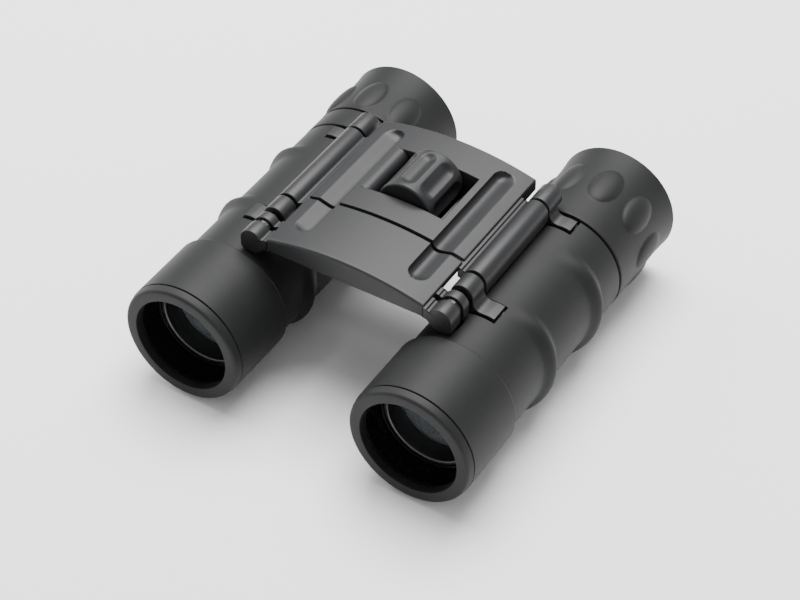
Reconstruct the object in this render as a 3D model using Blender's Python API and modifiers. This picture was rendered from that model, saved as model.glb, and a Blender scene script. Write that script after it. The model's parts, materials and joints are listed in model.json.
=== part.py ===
"""Compact binoculars with a double hinge, as an assembly of separate parts.

Metres. +X is towards the user's left barrel, +Y runs from the objectives to the eyepieces and
+Z is up. The origin is on the resting surface, midway between the barrels and halfway between
the objective rims and the eyecup rims. Distances along Y are drawn from a point on the bridge,
and everything moves by CENTRE_MOVE at the end.
"""

import math

import bmesh
import bpy
from mathutils import Matrix, Vector

MM = 0.001
GAP = 0.3 * MM

# Whole object
FRONT_END_Y = -53 * MM
BACK_END_Y = 57.3 * MM
CENTRE_MOVE = -(FRONT_END_Y + BACK_END_Y) / 2
BARREL_X = 34.2 * MM
# The finger ridges are what the barrels rest on
BARREL_Z = 18.37 * MM

# Hinges: the two axes are parallel to Y
HINGE_X = 28.2 * MM
HINGE_Z = BARREL_Z + 20.2 * MM
HINGE_REACH = math.hypot(BARREL_X - HINGE_X, HINGE_Z - BARREL_Z)
HINGE_LEAN = math.atan2(BARREL_X - HINGE_X, HINGE_Z - BARREL_Z)
KNUCKLE_R = 3.3 * MM
PIN_R = 1.5 * MM
PIN_HOLE_R = 1.75 * MM

# Bridge
ARCH_R = 88 * MM
ARCH_TOP_Z = HINGE_Z + 5.9 * MM
BRIDGE_UNDER_Z = HINGE_Z - 0.8 * MM
COVER_TOP_Z = BRIDGE_UNDER_Z - GAP
COVER_THICKNESS = 1.0 * MM
COVER_SCREW_HOLE_R = 1.0 * MM
PLATE_HALF_WIDTH = 23.4 * MM
LIP_X = 19 * MM
FRONT_PLATE_Y = (-28.3 * MM, -9.1 * MM)
REAR_PLATE_Y = (-8.1 * MM, 28.9 * MM)
TUBE_Y = (-10.9 * MM, 21.2 * MM)
ARM_SLOT_Y = (-23.6 * MM, -22.1 * MM)
ARM_PASS_WIDTH = 4.2 * MM
ARM_PASS_Y = (-25.3 * MM, -21.3 * MM)
RING_BACK_Y = -19.3 * MM
FLUTE_X = 17 * MM
FLUTE_HALF_WIDTH = 3 * MM
FLUTE_DEPTH = 1.9 * MM
FLUTE_Y = (-22 * MM, 25.5 * MM)
WINDOW_Y = (0.0, 18.5 * MM)
WINDOW_TOP_HALF = 12 * MM
WINDOW_LOW_HALF = 9.4 * MM

# Focus mechanism
WHEEL_Z = HINGE_Z + 2.2 * MM
WHEEL_R = 8 * MM
WHEEL_Y = (0.6 * MM, 17.6 * MM)
WHEEL_LOBES = 8
SPINDLE_R = 1.5 * MM
NUT_R = 2.25 * MM
ROD_X = 9.6 * MM
ROD_R = 1.1 * MM

# Barrels
HOOD_R = 13.9 * MM
RIM_R = 17.1 * MM
COLLAR_R = 17.6 * MM
COLLAR_END_Y = -30.3 * MM
SLEEVE_FRONT_Y = -50.2 * MM
NECK_R = 16.5 * MM
HOUSING_R = 15.2 * MM
HOUSING_BORE_R = 14.0 * MM
EYE_TUBE_R = 14.6 * MM
EYE_TUBE_BORE_R = 13.2 * MM
EYE_TUBE_END_Y = 46.4 * MM
FRONT_LUG_Y = (-17.5 * MM, -11.8 * MM)
REAR_LUG_Y = (21.9 * MM, 26.1 * MM)
REAR_KNUCKLE_Y = (21.9 * MM, 28.8 * MM)
FOOT_ANGLE = math.radians(11.5)
# Each ridge is a tilted ring: crest at the middle of its travel along Y, steeper at the back
RIDGES_Y = (-13.9 * MM, 10.8 * MM)
RIDGE_HEIGHT = 1.55 * MM
RIDGE_TILT = 4.1 * MM
RIDGE_REARMOST = math.radians(52.6)
RIDGE_HIGHEST = math.radians(155)
RIDGE_GAIN = 0.23
RIDGE_FRONT = 3.8 * MM
RIDGE_BACK = 3.0 * MM
ARMOUR_END_Y = 26.6 * MM
EYECUP_NECK_R = 16.7 * MM
EYECUP_RIM_R = 17.3 * MM
FLARE_START_Y = 36 * MM
EYECUP_PADS = 9
PAD_Y = 43.2 * MM
PAD_SIZE = (3.9 * MM, 6.2 * MM, 1.3 * MM)
PAD_SUNK = 0.35 * MM
FIRST_PAD_ANGLE = math.radians(9.5)

# Only the right eyepiece has a diopter ring, so its eyecup starts further back
EYECUP_START_Y = {"left": 27.7 * MM, "right": 36.0 * MM}
DIOPTER_Y = (27.7 * MM, 35.5 * MM)
SIDE_SIGN = {"left": 1, "right": -1}

ROUND_STEPS = 32
SMALL_STEPS = 16

# Finishes: colour, roughness, metallic
FINISHES = {
    "armour": ((0.045, 0.046, 0.047), 0.55, 0.0),
    "plastic": ((0.040, 0.041, 0.044), 0.42, 0.0),
    "black": ((0.012, 0.012, 0.013), 0.35, 0.0),
    "steel": ((0.45, 0.45, 0.46), 0.30, 1.0),
    "brass": ((0.62, 0.48, 0.22), 0.35, 1.0),
    "alloy": ((0.20, 0.20, 0.21), 0.40, 1.0),
    "glass": ((0.80, 0.86, 0.88), 0.03, 0.0),
}


# Scene and helpers ---------------------------------------------------------------------------


def clear_scene():
    for obj in list(bpy.data.objects):
        bpy.data.objects.remove(obj, do_unlink=True)
    for collection in list(bpy.data.collections):
        bpy.data.collections.remove(collection)


def new_collection(name):
    collection = bpy.data.collections.new(name)
    bpy.context.scene.collection.children.link(collection)
    return collection


def finish_material(name, finish):
    colour, roughness, metallic = FINISHES[finish]
    material = bpy.data.materials.new(f"{name}_finish")
    material.use_nodes = True
    shader = material.node_tree.nodes["Principled BSDF"]
    shader.inputs["Base Color"].default_value = (*colour, 1)
    shader.inputs["Roughness"].default_value = roughness
    shader.inputs["Metallic"].default_value = metallic
    return material


def add_object(name, mesh, finish):
    """A part when it has a finish, and a hidden cutter when it has none."""
    obj = bpy.data.objects.new(name, mesh)
    if finish:
        PARTS.objects.link(obj)
        mesh.materials.append(finish_material(name, finish))
    else:
        CUTTERS.objects.link(obj)
        obj.hide_render = True
        obj.display_type = "WIRE"
    return obj


def mesh_from(name, build):
    """A mesh that the function build fills through bmesh."""
    shape = bmesh.new()
    build(shape)
    mesh = bpy.data.meshes.new(name)
    shape.to_mesh(mesh)
    shape.free()
    return mesh


def box(name, low, high, finish=None, turn=0.0, about=(0, 0)):
    """A box between two corners, turned about the line along Y through about = (x, z)."""
    low, high = Vector(low), Vector(high)
    size = high - low
    middle = (high + low) / 2

    def build(shape):
        bmesh.ops.create_cube(shape, size=1)
        bmesh.ops.scale(shape, vec=size, verts=shape.verts)
        bmesh.ops.translate(shape, vec=middle, verts=shape.verts)

    obj = add_object(name, mesh_from(name, build), finish)
    obj.location = (about[0], 0, about[1])
    obj.rotation_euler = (0, turn, 0)
    return obj


def rod(name, start, end, radius, finish=None, steps=SMALL_STEPS):
    """A cylinder between two points."""
    start, end = Vector(start), Vector(end)

    def build(shape):
        bmesh.ops.create_cone(shape, cap_ends=True, segments=steps, radius1=radius,
                              radius2=radius, depth=(end - start).length)

    obj = add_object(name, mesh_from(name, build), finish)
    obj.location = (start + end) / 2
    obj.rotation_euler = (end - start).to_track_quat("Z", "Y").to_euler()
    return obj


def shaded(mesh):
    mesh.shade_smooth()
    mesh.set_sharp_from_angle(angle=math.radians(35))


def turned(name, profile, centre, finish=None, steps=ROUND_STEPS):
    """A turned shape about the line along Y through centre = (x, z).

    The profile lists (radius, y). It is closed into a ring unless it starts and ends on the
    axis. Its direction is set so that the outer side runs from the back to the front.
    """
    around = zip(profile, profile[1:] + profile[:1])
    area = sum(r0 * y1 - r1 * y0 for (r0, y0), (r1, y1) in around)
    if area > 0:
        profile = profile[::-1]
    solid = profile[0][0] == 0 and profile[-1][0] == 0
    count = len(profile)
    edges = [(i, (i + 1) % count) for i in range(count - 1 if solid else count)]
    mesh = bpy.data.meshes.new(name)
    mesh.from_pydata([(r, 0, y) for r, y in profile], edges, [])
    obj = add_object(name, mesh, finish)
    obj.location = (centre[0], 0, centre[1])
    obj.rotation_euler = (-math.pi / 2, 0, 0)
    screw = obj.modifiers.new("turn", "SCREW")
    screw.steps = steps
    screw.render_steps = steps
    screw.use_merge_vertices = True
    screw.merge_threshold = 0.00001
    screw.use_smooth_shade = False
    return obj


def extruded(name, outlines, y_range, finish=None):
    """Outlines of (x, z) points, the first an outer edge and any others holes, drawn out along Y."""
    curve = bpy.data.curves.new(name, "CURVE")
    curve.dimensions = "2D"
    curve.fill_mode = "BOTH"
    curve.extrude = (y_range[1] - y_range[0]) / 2
    for outline in outlines:
        spline = curve.splines.new("POLY")
        spline.points.add(len(outline) - 1)
        for point, (x, z) in zip(spline.points, outline):
            point.co = (x, z, 0, 1)
        spline.use_cyclic_u = True
    guide = bpy.data.objects.new(f"{name}_outline", curve)
    CUTTERS.objects.link(guide)
    guide.location = (0, sum(y_range) / 2, 0)
    guide.rotation_euler = (math.pi / 2, 0, 0)
    bpy.context.view_layer.update()
    evaluated = guide.evaluated_get(bpy.context.evaluated_depsgraph_get())
    mesh = bpy.data.meshes.new_from_object(evaluated)
    matrix = guide.matrix_world.copy()
    bpy.data.objects.remove(guide)
    shape = bmesh.new()
    shape.from_mesh(mesh)
    bmesh.ops.remove_doubles(shape, verts=shape.verts, dist=0.00001)
    bmesh.ops.recalc_face_normals(shape, faces=shape.faces)
    shape.to_mesh(mesh)
    shape.free()
    mesh.materials.clear()
    obj = add_object(name, mesh, finish)
    obj.matrix_world = matrix
    return obj


def combine(obj, other, operation):
    modifier = obj.modifiers.new(other.name, "BOOLEAN")
    modifier.operation = operation
    modifier.object = other
    modifier.solver = "EXACT"


def cut(obj, *cutters):
    for cutter in cutters:
        combine(obj, cutter, "DIFFERENCE")


def join(obj, *others):
    for other in others:
        combine(obj, other, "UNION")


def axis_empty(name, location):
    empty = bpy.data.objects.new(name, None)
    empty.empty_display_size = 5 * MM
    empty.location = location
    PARTS.objects.link(empty)
    return empty


def attach(empty, *objects):
    """Parents objects to an unturned empty without moving them."""
    for obj in objects:
        obj.parent = empty
        obj.matrix_parent_inverse = Matrix.Translation(-empty.location)


def arc(centre, radius, start, end, count):
    """Points on an arc. Angles are from +X towards +Z."""
    angles = [start + (end - start) * i / (count - 1) for i in range(count)]
    return [(centre[0] + radius * math.cos(a), centre[1] + radius * math.sin(a)) for a in angles]


def bezier(points, count):
    """Points on a cubic curve with four control points, without its two ends."""
    found = []
    for i in range(1, count + 1):
        t = i / (count + 1)
        weights = ((1 - t) ** 3, 3 * t * (1 - t) ** 2, 3 * t * t * (1 - t), t ** 3)
        found.append(tuple(sum(w * p[k] for w, p in zip(weights, points)) for k in (0, 1)))
    return found


def flipped(outline, sign):
    return [(sign * x, z) for x, z in outline]


# Bridge --------------------------------------------------------------------------------------


def arch_z(x):
    return ARCH_TOP_Z - ARCH_R + math.sqrt(ARCH_R ** 2 - x ** 2)


def half_section():
    """The right half of the bridge's cross-section, from the top of the arch round to the
    middle of its underside: arch, small step, valley, round knuckle with a straight outer
    side, and the flat underside."""
    hinge = (HINGE_X, HINGE_Z)
    steps = 8
    top = [(PLATE_HALF_WIDTH * i / steps, arch_z(PLATE_HALF_WIDTH * i / steps))
           for i in range(steps + 1)]
    valley = [(PLATE_HALF_WIDTH + 0.2 * MM, HINGE_Z + 2.0 * MM),
              (PLATE_HALF_WIDTH + 1.3 * MM, HINGE_Z + 1.8 * MM)]
    crown = arc(hinge, KNUCKLE_R, math.radians(135), 0, 9)
    corner_r = 1.5 * MM
    corner = (HINGE_X + KNUCKLE_R - corner_r, HINGE_Z - 2.2 * MM)
    low = arc(corner, corner_r, 0, math.radians(-90), 4)
    under = [(HINGE_X - 1.2 * MM, HINGE_Z - 3.7 * MM), (HINGE_X - 2.9 * MM, HINGE_Z - 2.4 * MM),
             (PLATE_HALF_WIDTH + 0.8 * MM, HINGE_Z - 1.4 * MM),
             (PLATE_HALF_WIDTH - 2.2 * MM, BRIDGE_UNDER_Z), (0, BRIDGE_UNDER_Z)]
    return top + valley + crown + low + under


def bridge_section():
    right = half_section()
    return right + flipped(right[-2:0:-1], -1)


def flute_cutter(sign, name):
    """A capsule that leaves a round-bottomed flute with round ends along the bridge's top."""
    radius = (FLUTE_HALF_WIDTH ** 2 + FLUTE_DEPTH ** 2) / (2 * FLUTE_DEPTH)
    lift = radius - FLUTE_DEPTH
    lean = math.asin(FLUTE_X / ARCH_R)
    centre = (sign * (FLUTE_X + lift * math.sin(lean)), arch_z(FLUTE_X) + lift * math.cos(lean))
    front = FLUTE_Y[0] + FLUTE_HALF_WIDTH
    back = FLUTE_Y[1] - FLUTE_HALF_WIDTH
    quarter = [math.radians(a) for a in (90, 65, 40, 15, 0)]
    profile = [(0 if a == quarter[0] else radius * math.cos(a), front - radius * math.sin(a))
               for a in quarter]
    profile += [(r, back + front - y) for r, y in reversed(profile)]
    return turned(name, profile, centre, steps=20)


def side_cutters(name, low_x, y_range):
    """Two boxes that clear both sides of the bridge outboard of low_x."""
    far = HINGE_X + 10 * MM
    return [box(f"{name}_{side}", (min(s * low_x, s * far), y_range[0], HINGE_Z - 12 * MM),
                (max(s * low_x, s * far), y_range[1], HINGE_Z + 12 * MM))
            for side, s in SIDE_SIGN.items()]


def pin_hole_cutters(name, front):
    return [rod(f"{name}_{side}", (s * HINGE_X, front, HINGE_Z),
                (s * HINGE_X, 45 * MM, HINGE_Z), PIN_HOLE_R) for side, s in SIDE_SIGN.items()]


def make_front_plate():
    plate = extruded("front_plate", [bridge_section()], FRONT_PLATE_Y, "plastic")
    cut(plate, *[flute_cutter(s, f"front_flute_{side}") for side, s in SIDE_SIGN.items()])
    cut(plate, *side_cutters("front_lug_space", PLATE_HALF_WIDTH + GAP, (RING_BACK_Y, 0)))
    cut(plate, *side_cutters("arm_slot", PLATE_HALF_WIDTH + 1.2 * MM, ARM_SLOT_Y))
    for side, s in SIDE_SIGN.items():
        # Beside the front lugs the plate thins to a lip.
        x = sorted((s * LIP_X, s * (PLATE_HALF_WIDTH + 2 * GAP)))
        cut(plate, box(f"lip_space_{side}", (x[0], RING_BACK_Y, HINGE_Z - 12 * MM),
                       (x[1], 0, HINGE_Z + 1.1 * MM)))
    cut(plate, *pin_hole_cutters("front_pin_hole", -27.4 * MM))
    cut(plate, rod("nut_hole", (0, -22 * MM, WHEEL_Z), (0, 0, WHEEL_Z), NUT_R + GAP))
    for side, s in SIDE_SIGN.items():
        cut(plate, rod(f"rod_slide_{side}", (s * ROD_X, -24 * MM, WHEEL_Z),
                       (s * ROD_X, 0, WHEEL_Z), ROD_R + GAP, steps=12))
    return plate


def window_cutter():
    """The focus window: dished side walls over a straight opening."""
    top_z = ARCH_TOP_Z + 2 * MM
    rim_z = arch_z(WINDOW_TOP_HALF)
    waist_z = HINGE_Z + 1.6 * MM
    right = [(WINDOW_TOP_HALF, top_z), (WINDOW_TOP_HALF, rim_z)]
    right += bezier([(WINDOW_TOP_HALF, rim_z), (WINDOW_LOW_HALF + 0.8 * MM, rim_z - 0.8 * MM),
                     (WINDOW_LOW_HALF, waist_z + 1.2 * MM), (WINDOW_LOW_HALF, waist_z)], 3)
    right += [(WINDOW_LOW_HALF, waist_z), (WINDOW_LOW_HALF, HINGE_Z - 12 * MM)]
    return extruded("focus_window", [right + flipped(right[::-1], -1)], WINDOW_Y)


def cover_screw_places():
    return [(s * 13.4 * MM, y) for s in (1, -1) for y in (-4.6 * MM, 24 * MM)]


def make_rear_plate():
    plate = extruded("rear_plate", [bridge_section()], (TUBE_Y[0], REAR_PLATE_Y[1]), "plastic")
    cut(plate, *[flute_cutter(s, f"rear_flute_{side}") for side, s in SIDE_SIGN.items()])
    inner = PLATE_HALF_WIDTH + GAP
    cut(plate, box("front_plate_space", (-inner, -20 * MM, HINGE_Z - 12 * MM),
                   (inner, REAR_PLATE_Y[0], HINGE_Z + 12 * MM)))
    cut(plate, *side_cutters("rear_lug_space", inner, (TUBE_Y[1], 40 * MM)))
    cut(plate, *pin_hole_cutters("rear_pin_hole", -20 * MM))
    cut(plate, window_cutter())
    cut(plate, rod("spindle_hole", (0, -12 * MM, WHEEL_Z), (0, 25.5 * MM, WHEEL_Z),
                   SPINDLE_R + GAP, steps=12))
    for side, s in SIDE_SIGN.items():
        cut(plate, rod(f"rod_seat_{side}", (s * ROD_X, -12 * MM, WHEEL_Z),
                       (s * ROD_X, -1.2 * MM, WHEEL_Z), ROD_R + GAP, steps=12))
    for i, (x, y) in enumerate(cover_screw_places()):
        cut(plate, rod(f"screw_hole_{i}", (x, y, HINGE_Z - 4 * MM),
                       (x, y, HINGE_Z + 1.4 * MM), COVER_SCREW_HOLE_R,
                       steps=10))
    return plate


def make_bottom_cover():
    top = COVER_TOP_Z
    cover = box("bottom_cover", (-17 * MM, -7.4 * MM, top - COVER_THICKNESS),
                (17 * MM, 28.2 * MM, top), "plastic")
    cut(cover, box("cover_window", (-9.4 * MM, -0.4 * MM, top - 6 * MM),
                   (9.4 * MM, 18.9 * MM, top + 6 * MM)))
    for i, (x, y) in enumerate(cover_screw_places()):
        cut(cover, rod(f"cover_hole_{i}", (x, y, top - 4 * MM), (x, y, top + 2 * MM),
                       COVER_SCREW_HOLE_R, steps=10))
    return cover


def make_cover_screws():
    """Pan-head screws, head down, turned about a vertical line."""
    head_top = COVER_TOP_Z - COVER_THICKNESS - 0.15 * MM
    profile = [(0, head_top - 0.7 * MM), (1.2 * MM, head_top - 0.7 * MM),
               (1.6 * MM, head_top - 0.3 * MM), (1.6 * MM, head_top), (0.7 * MM, head_top),
               (0.7 * MM, HINGE_Z + 0.9 * MM), (0, HINGE_Z + 0.9 * MM)]
    screws = []
    for i, (x, y) in enumerate(cover_screw_places()):
        screw = turned(f"cover_screw_{i + 1}", profile, (0, 0), "steel", steps=12)
        screw.rotation_euler = (0, 0, 0)
        screw.location = (x, y, 0)
        screws.append(screw)
    return screws


def make_guide_rods():
    return [rod(f"{side}_guide_rod", (s * ROD_X, -21.5 * MM, WHEEL_Z),
                (s * ROD_X, -1.5 * MM, WHEEL_Z), ROD_R, "steel", steps=12)
            for side, s in SIDE_SIGN.items()]


def make_hinge_pins():
    """A pin for each hinge, with a head behind the rear lug."""
    profile = [(0, 30 * MM), (2.2 * MM, 30 * MM), (2.5 * MM, 29.7 * MM), (2.5 * MM, 29.2 * MM),
               (PIN_R, 29.2 * MM), (PIN_R, -26.6 * MM), (0, -26.6 * MM)]
    return [turned(f"{side}_hinge_pin", profile, (s * HINGE_X, HINGE_Z), "steel", SMALL_STEPS)
            for side, s in SIDE_SIGN.items()]


# Focus mechanism -----------------------------------------------------------------------------


def make_focus_wheel():
    """A wheel with broad lobes: its radius follows a flattened cosine of the angle."""
    per_lobe = 8
    outline = []
    for i in range(WHEEL_LOBES * per_lobe):
        angle = 2 * math.pi * i / (WHEEL_LOBES * per_lobe)
        wave = 0.5 + 0.5 * math.cos(WHEEL_LOBES * angle)
        radius = WHEEL_R - 0.8 * MM * (1 - wave) ** 2
        outline.append((radius * math.sin(angle), WHEEL_Z + radius * math.cos(angle)))
    bore = arc((0, WHEEL_Z), SPINDLE_R + GAP, 0, 2 * math.pi * 15 / 16, 16)
    return extruded("focus_wheel", [outline, bore], WHEEL_Y, "plastic")


def make_focus_spindle():
    return rod("focus_spindle", (0, -21 * MM, WHEEL_Z), (0, 25 * MM, WHEEL_Z), SPINDLE_R, "steel")


def make_focus_nut():
    inner = SPINDLE_R + GAP
    profile = [(inner, -20.5 * MM), (NUT_R, -20.5 * MM), (NUT_R, -10 * MM), (inner, -10 * MM)]
    return turned("focus_nut", profile, (0, WHEEL_Z), "brass", SMALL_STEPS)


def make_focus_arm(side):
    """A flat steel arm: an eye on the hinge pin and a tail into the objective cell."""
    s = SIDE_SIGN[side]
    eye_r, half_tail = 2.7 * MM, 1.5 * MM
    tail = HINGE_REACH - 12.9 * MM
    neck = math.asin(half_tail / eye_r)
    down = -math.pi / 2
    points = arc((0, 0), eye_r, down + neck, down - neck + 2 * math.pi, 15)
    points += [(-half_tail, -tail), (half_tail, -tail)]
    lean = HINGE_LEAN
    outline = [(HINGE_X + x * math.cos(lean) - z * math.sin(lean),
                HINGE_Z + x * math.sin(lean) + z * math.cos(lean)) for x, z in points]
    hole = arc((HINGE_X, HINGE_Z), PIN_HOLE_R, 0, 2 * math.pi * 15 / 16, 16)
    middle = sum(ARM_SLOT_Y) / 2
    y_range = (middle - 0.4 * MM, middle + 0.4 * MM)
    outlines = [flipped(outline, s), flipped(hole, s)]
    return extruded(f"{side}_focus_arm", outlines, y_range, "steel")


def arm_slot_cutter(name, side, width, y_range, radii):
    """A box through the barrel wall, along the line from the barrel's axis to the hinge."""
    s = SIDE_SIGN[side]
    return box(name, (-width / 2, y_range[0], radii[0]), (width / 2, y_range[1], radii[1]),
               turn=-s * HINGE_LEAN, about=(s * BARREL_X, BARREL_Z))


# Barrels -------------------------------------------------------------------------------------


def centre_of(side):
    return (SIDE_SIGN[side] * BARREL_X, BARREL_Z)


def lug_outline():
    """A hinge lug in section: the knuckle, an S-shaped arm and a foot curved like the barrel."""
    hinge = (HINGE_X, HINGE_Z)
    barrel = (BARREL_X, BARREL_Z)
    root_r = HOUSING_R - 0.5 * MM
    up = math.pi / 2
    heel = math.radians(6)
    knuckle = arc(hinge, KNUCKLE_R, math.radians(-115), math.radians(-360), 15)
    foot_top = arc(barrel, NECK_R, up - heel, up - FOOT_ANGLE, 3)
    start = knuckle[-1]
    end = foot_top[0]
    sweep = bezier([start, (start[0], start[1] - 2.6 * MM), (end[0] - 2.6 * MM, end[1] + 0.3 * MM),
                    end], 5)
    foot_root = arc(barrel, root_r, up - FOOT_ANGLE, up + math.radians(16), 5)
    return knuckle + sweep + foot_top + foot_root


def make_housing(side):
    """The moulded barrel tube with its two hinge lugs."""
    s = SIDE_SIGN[side]
    shoulder = ARMOUR_END_Y + 0.6 * MM
    profile = [(HOUSING_BORE_R, SLEEVE_FRONT_Y), (HOUSING_R, SLEEVE_FRONT_Y), (HOUSING_R, shoulder),
               (EYE_TUBE_R, shoulder), (EYE_TUBE_R, EYE_TUBE_END_Y),
               (EYE_TUBE_BORE_R, EYE_TUBE_END_Y), (EYE_TUBE_BORE_R, 24 * MM),
               (HOUSING_BORE_R, 24 * MM)]
    housing = turned(f"{side}_barrel_housing", profile, centre_of(side), "plastic")
    outline = flipped(lug_outline(), s)
    lugs = [extruded(f"{side}_{place}_lug", [outline], y_range)
            for place, y_range in (("front", FRONT_LUG_Y), ("rear", REAR_LUG_Y))]
    lugs.append(rod(f"{side}_rear_knuckle", (s * HINGE_X, REAR_KNUCKLE_Y[0] + 0.1 * MM, HINGE_Z),
                    (s * HINGE_X, REAR_KNUCKLE_Y[1], HINGE_Z), KNUCKLE_R, steps=28))
    join(housing, *lugs)
    cut(housing, rod(f"{side}_lug_hole", (s * HINGE_X, -30 * MM, HINGE_Z),
                     (s * HINGE_X, 45 * MM, HINGE_Z), PIN_HOLE_R))
    cut(housing, arm_slot_cutter(f"{side}_housing_slot", side, ARM_PASS_WIDTH,
                                 ARM_PASS_Y, (12 * MM, 18 * MM)))
    return housing


def ridge_share(angle):
    """How much of a finger ridge shows at an angle from the top, outward positive: none beside
    the hinge, all on the outer and lower sides."""
    smooth_from, smooth_to, fade = math.radians(-60), math.radians(14), math.radians(42)
    middle = (smooth_from + smooth_to) / 2
    half = (smooth_to - smooth_from) / 2
    away = abs((angle - middle + math.pi) % (2 * math.pi) - math.pi)
    t = min(max((away - half) / fade, 0), 1)
    return t * t * (3 - 2 * t)


def ridge_travel(angle):
    """How far a ridge's crest lies along Y from the middle of its travel, at an angle."""
    return RIDGE_TILT * math.cos(angle - RIDGE_REARMOST)


def armour_radius(angle, y):
    """Outer radius of the armour: a collar round the hood, then a neck with two ridges."""
    t = min(max((y - COLLAR_END_Y) / (0.9 * MM), 0), 1)
    radius = COLLAR_R + (NECK_R - COLLAR_R) * t
    height = RIDGE_HEIGHT * (1 + RIDGE_GAIN * math.cos(angle - RIDGE_HIGHEST))
    for middle_y in RIDGES_Y:
        past = y - middle_y - ridge_travel(angle)
        t = min(abs(past) / (RIDGE_BACK if past > 0 else RIDGE_FRONT), 1)
        radius += ridge_share(angle) * height * (1 - t * t) ** 2
    return radius


def make_armour(side):
    """The rubber sleeve, lofted from rings whose radius changes round the barrel."""
    s = SIDE_SIGN[side]
    end = ARMOUR_END_Y
    start = SLEEVE_FRONT_Y
    inner = HOUSING_R + GAP
    level = [start, -40 * MM, COLLAR_END_Y, COLLAR_END_Y + 0.9 * MM]
    across = [RIDGE_FRONT * t for t in (-1, -0.7, -0.35, 0)] + [RIDGE_BACK * t for t in (0.35, 0.7, 1)]
    tilted = [middle_y + d for middle_y in RIDGES_Y for d in across]
    angles = [2 * math.pi * i / ROUND_STEPS for i in range(ROUND_STEPS)]
    rings = [[(armour_radius(a, y), a, y) for a in angles] for y in level]
    rings += [[(armour_radius(a, y + ridge_travel(a)), a, y + ridge_travel(a)) for a in angles]
              for y in tilted]
    rings.append([(armour_radius(a, end), a, end) for a in angles])
    rings += [[(inner, a, y) for a in angles] for y in (end, start)]

    def build(shape):
        loops = []
        for ring in rings:
            loops.append([shape.verts.new((s * (BARREL_X + r * math.sin(a)), y,
                                           BARREL_Z + r * math.cos(a))) for r, a, y in ring])
        for first, second in zip(loops, loops[1:] + loops[:1]):
            for i in range(ROUND_STEPS):
                j = (i + 1) % ROUND_STEPS
                shape.faces.new((first[i], first[j], second[j], second[i]))
        bmesh.ops.recalc_face_normals(shape, faces=shape.faces)

    name = f"{side}_armour"
    armour = add_object(name, mesh_from(name, build), "armour")
    edge = 0.4 * MM
    notches = (("front", FRONT_LUG_Y), ("rear", (REAR_LUG_Y[0], end + edge)))
    for place, (low, high) in notches:
        x_low = s * (BARREL_X - 8.4 * MM)
        x_high = s * (BARREL_X + NECK_R * math.sin(FOOT_ANGLE) + edge)
        cut(armour, box(f"{side}_armour_{place}_notch",
                        (min(x_low, x_high), low - edge, BARREL_Z + 11 * MM),
                        (max(x_low, x_high), high + edge, BARREL_Z + 21 * MM)))
    cut(armour, arm_slot_cutter(f"{side}_armour_slot", side, ARM_PASS_WIDTH,
                                ARM_PASS_Y, (12 * MM, 22 * MM)))
    return armour


def make_objective_bezel(side):
    """The ring that finishes the front of the hood, with a rounded outer edge."""
    front, back = FRONT_END_Y, -50.6 * MM
    profile = [(HOOD_R, back), (HOOD_R, front + 0.4 * MM), (HOOD_R + 0.4 * MM, front),
               (RIM_R - 1.2 * MM, front), (RIM_R - 0.4 * MM, front + 0.35 * MM),
               (RIM_R, front + 1.2 * MM), (RIM_R + 0.2 * MM, back)]
    return turned(f"{side}_objective_bezel", profile, centre_of(side), "plastic")


def make_objective(side):
    """Cell, doublet of two lenses and screwed retainer; they slide to focus."""
    centre = centre_of(side)
    lens_r = 12.7 * MM
    seat_r = lens_r + 0.25 * MM
    outer = HOUSING_BORE_R - GAP
    cell = turned(f"{side}_objective_cell", [
        (seat_r, -43.7 * MM), (outer, -43.7 * MM), (outer, -17 * MM), (11.6 * MM, -17 * MM),
        (11.6 * MM, -33.2 * MM), (seat_r, -33.2 * MM)], centre, "black", 20)
    cut(cell, arm_slot_cutter(f"{side}_cell_pocket", side, 3.6 * MM,
                              (-23.9 * MM, -21.8 * MM), (12.5 * MM, 17 * MM)))
    crown = turned(f"{side}_objective_crown_lens", [
        (0, -41.1 * MM), (6.5 * MM, -40.7 * MM), (lens_r, -39.5 * MM), (lens_r, -37.9 * MM),
        (6.5 * MM, -36.7 * MM), (0, -36.4 * MM)], centre, "glass", 20)
    flint = turned(f"{side}_objective_flint_lens", [
        (0, -36.1 * MM), (6.5 * MM, -36.4 * MM), (lens_r, -37.6 * MM), (lens_r, -33.6 * MM),
        (6.5 * MM, -33.9 * MM), (0, -34.0 * MM)], centre, "glass", 20)
    retainer = turned(f"{side}_objective_retainer", [
        (11.6 * MM, -43.5 * MM), (seat_r - GAP, -43.5 * MM), (seat_r - GAP, -40.1 * MM),
        (12.3 * MM, -40.1 * MM)], centre, "alloy", 20)
    return [cell, crown, flint, retainer]


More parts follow.
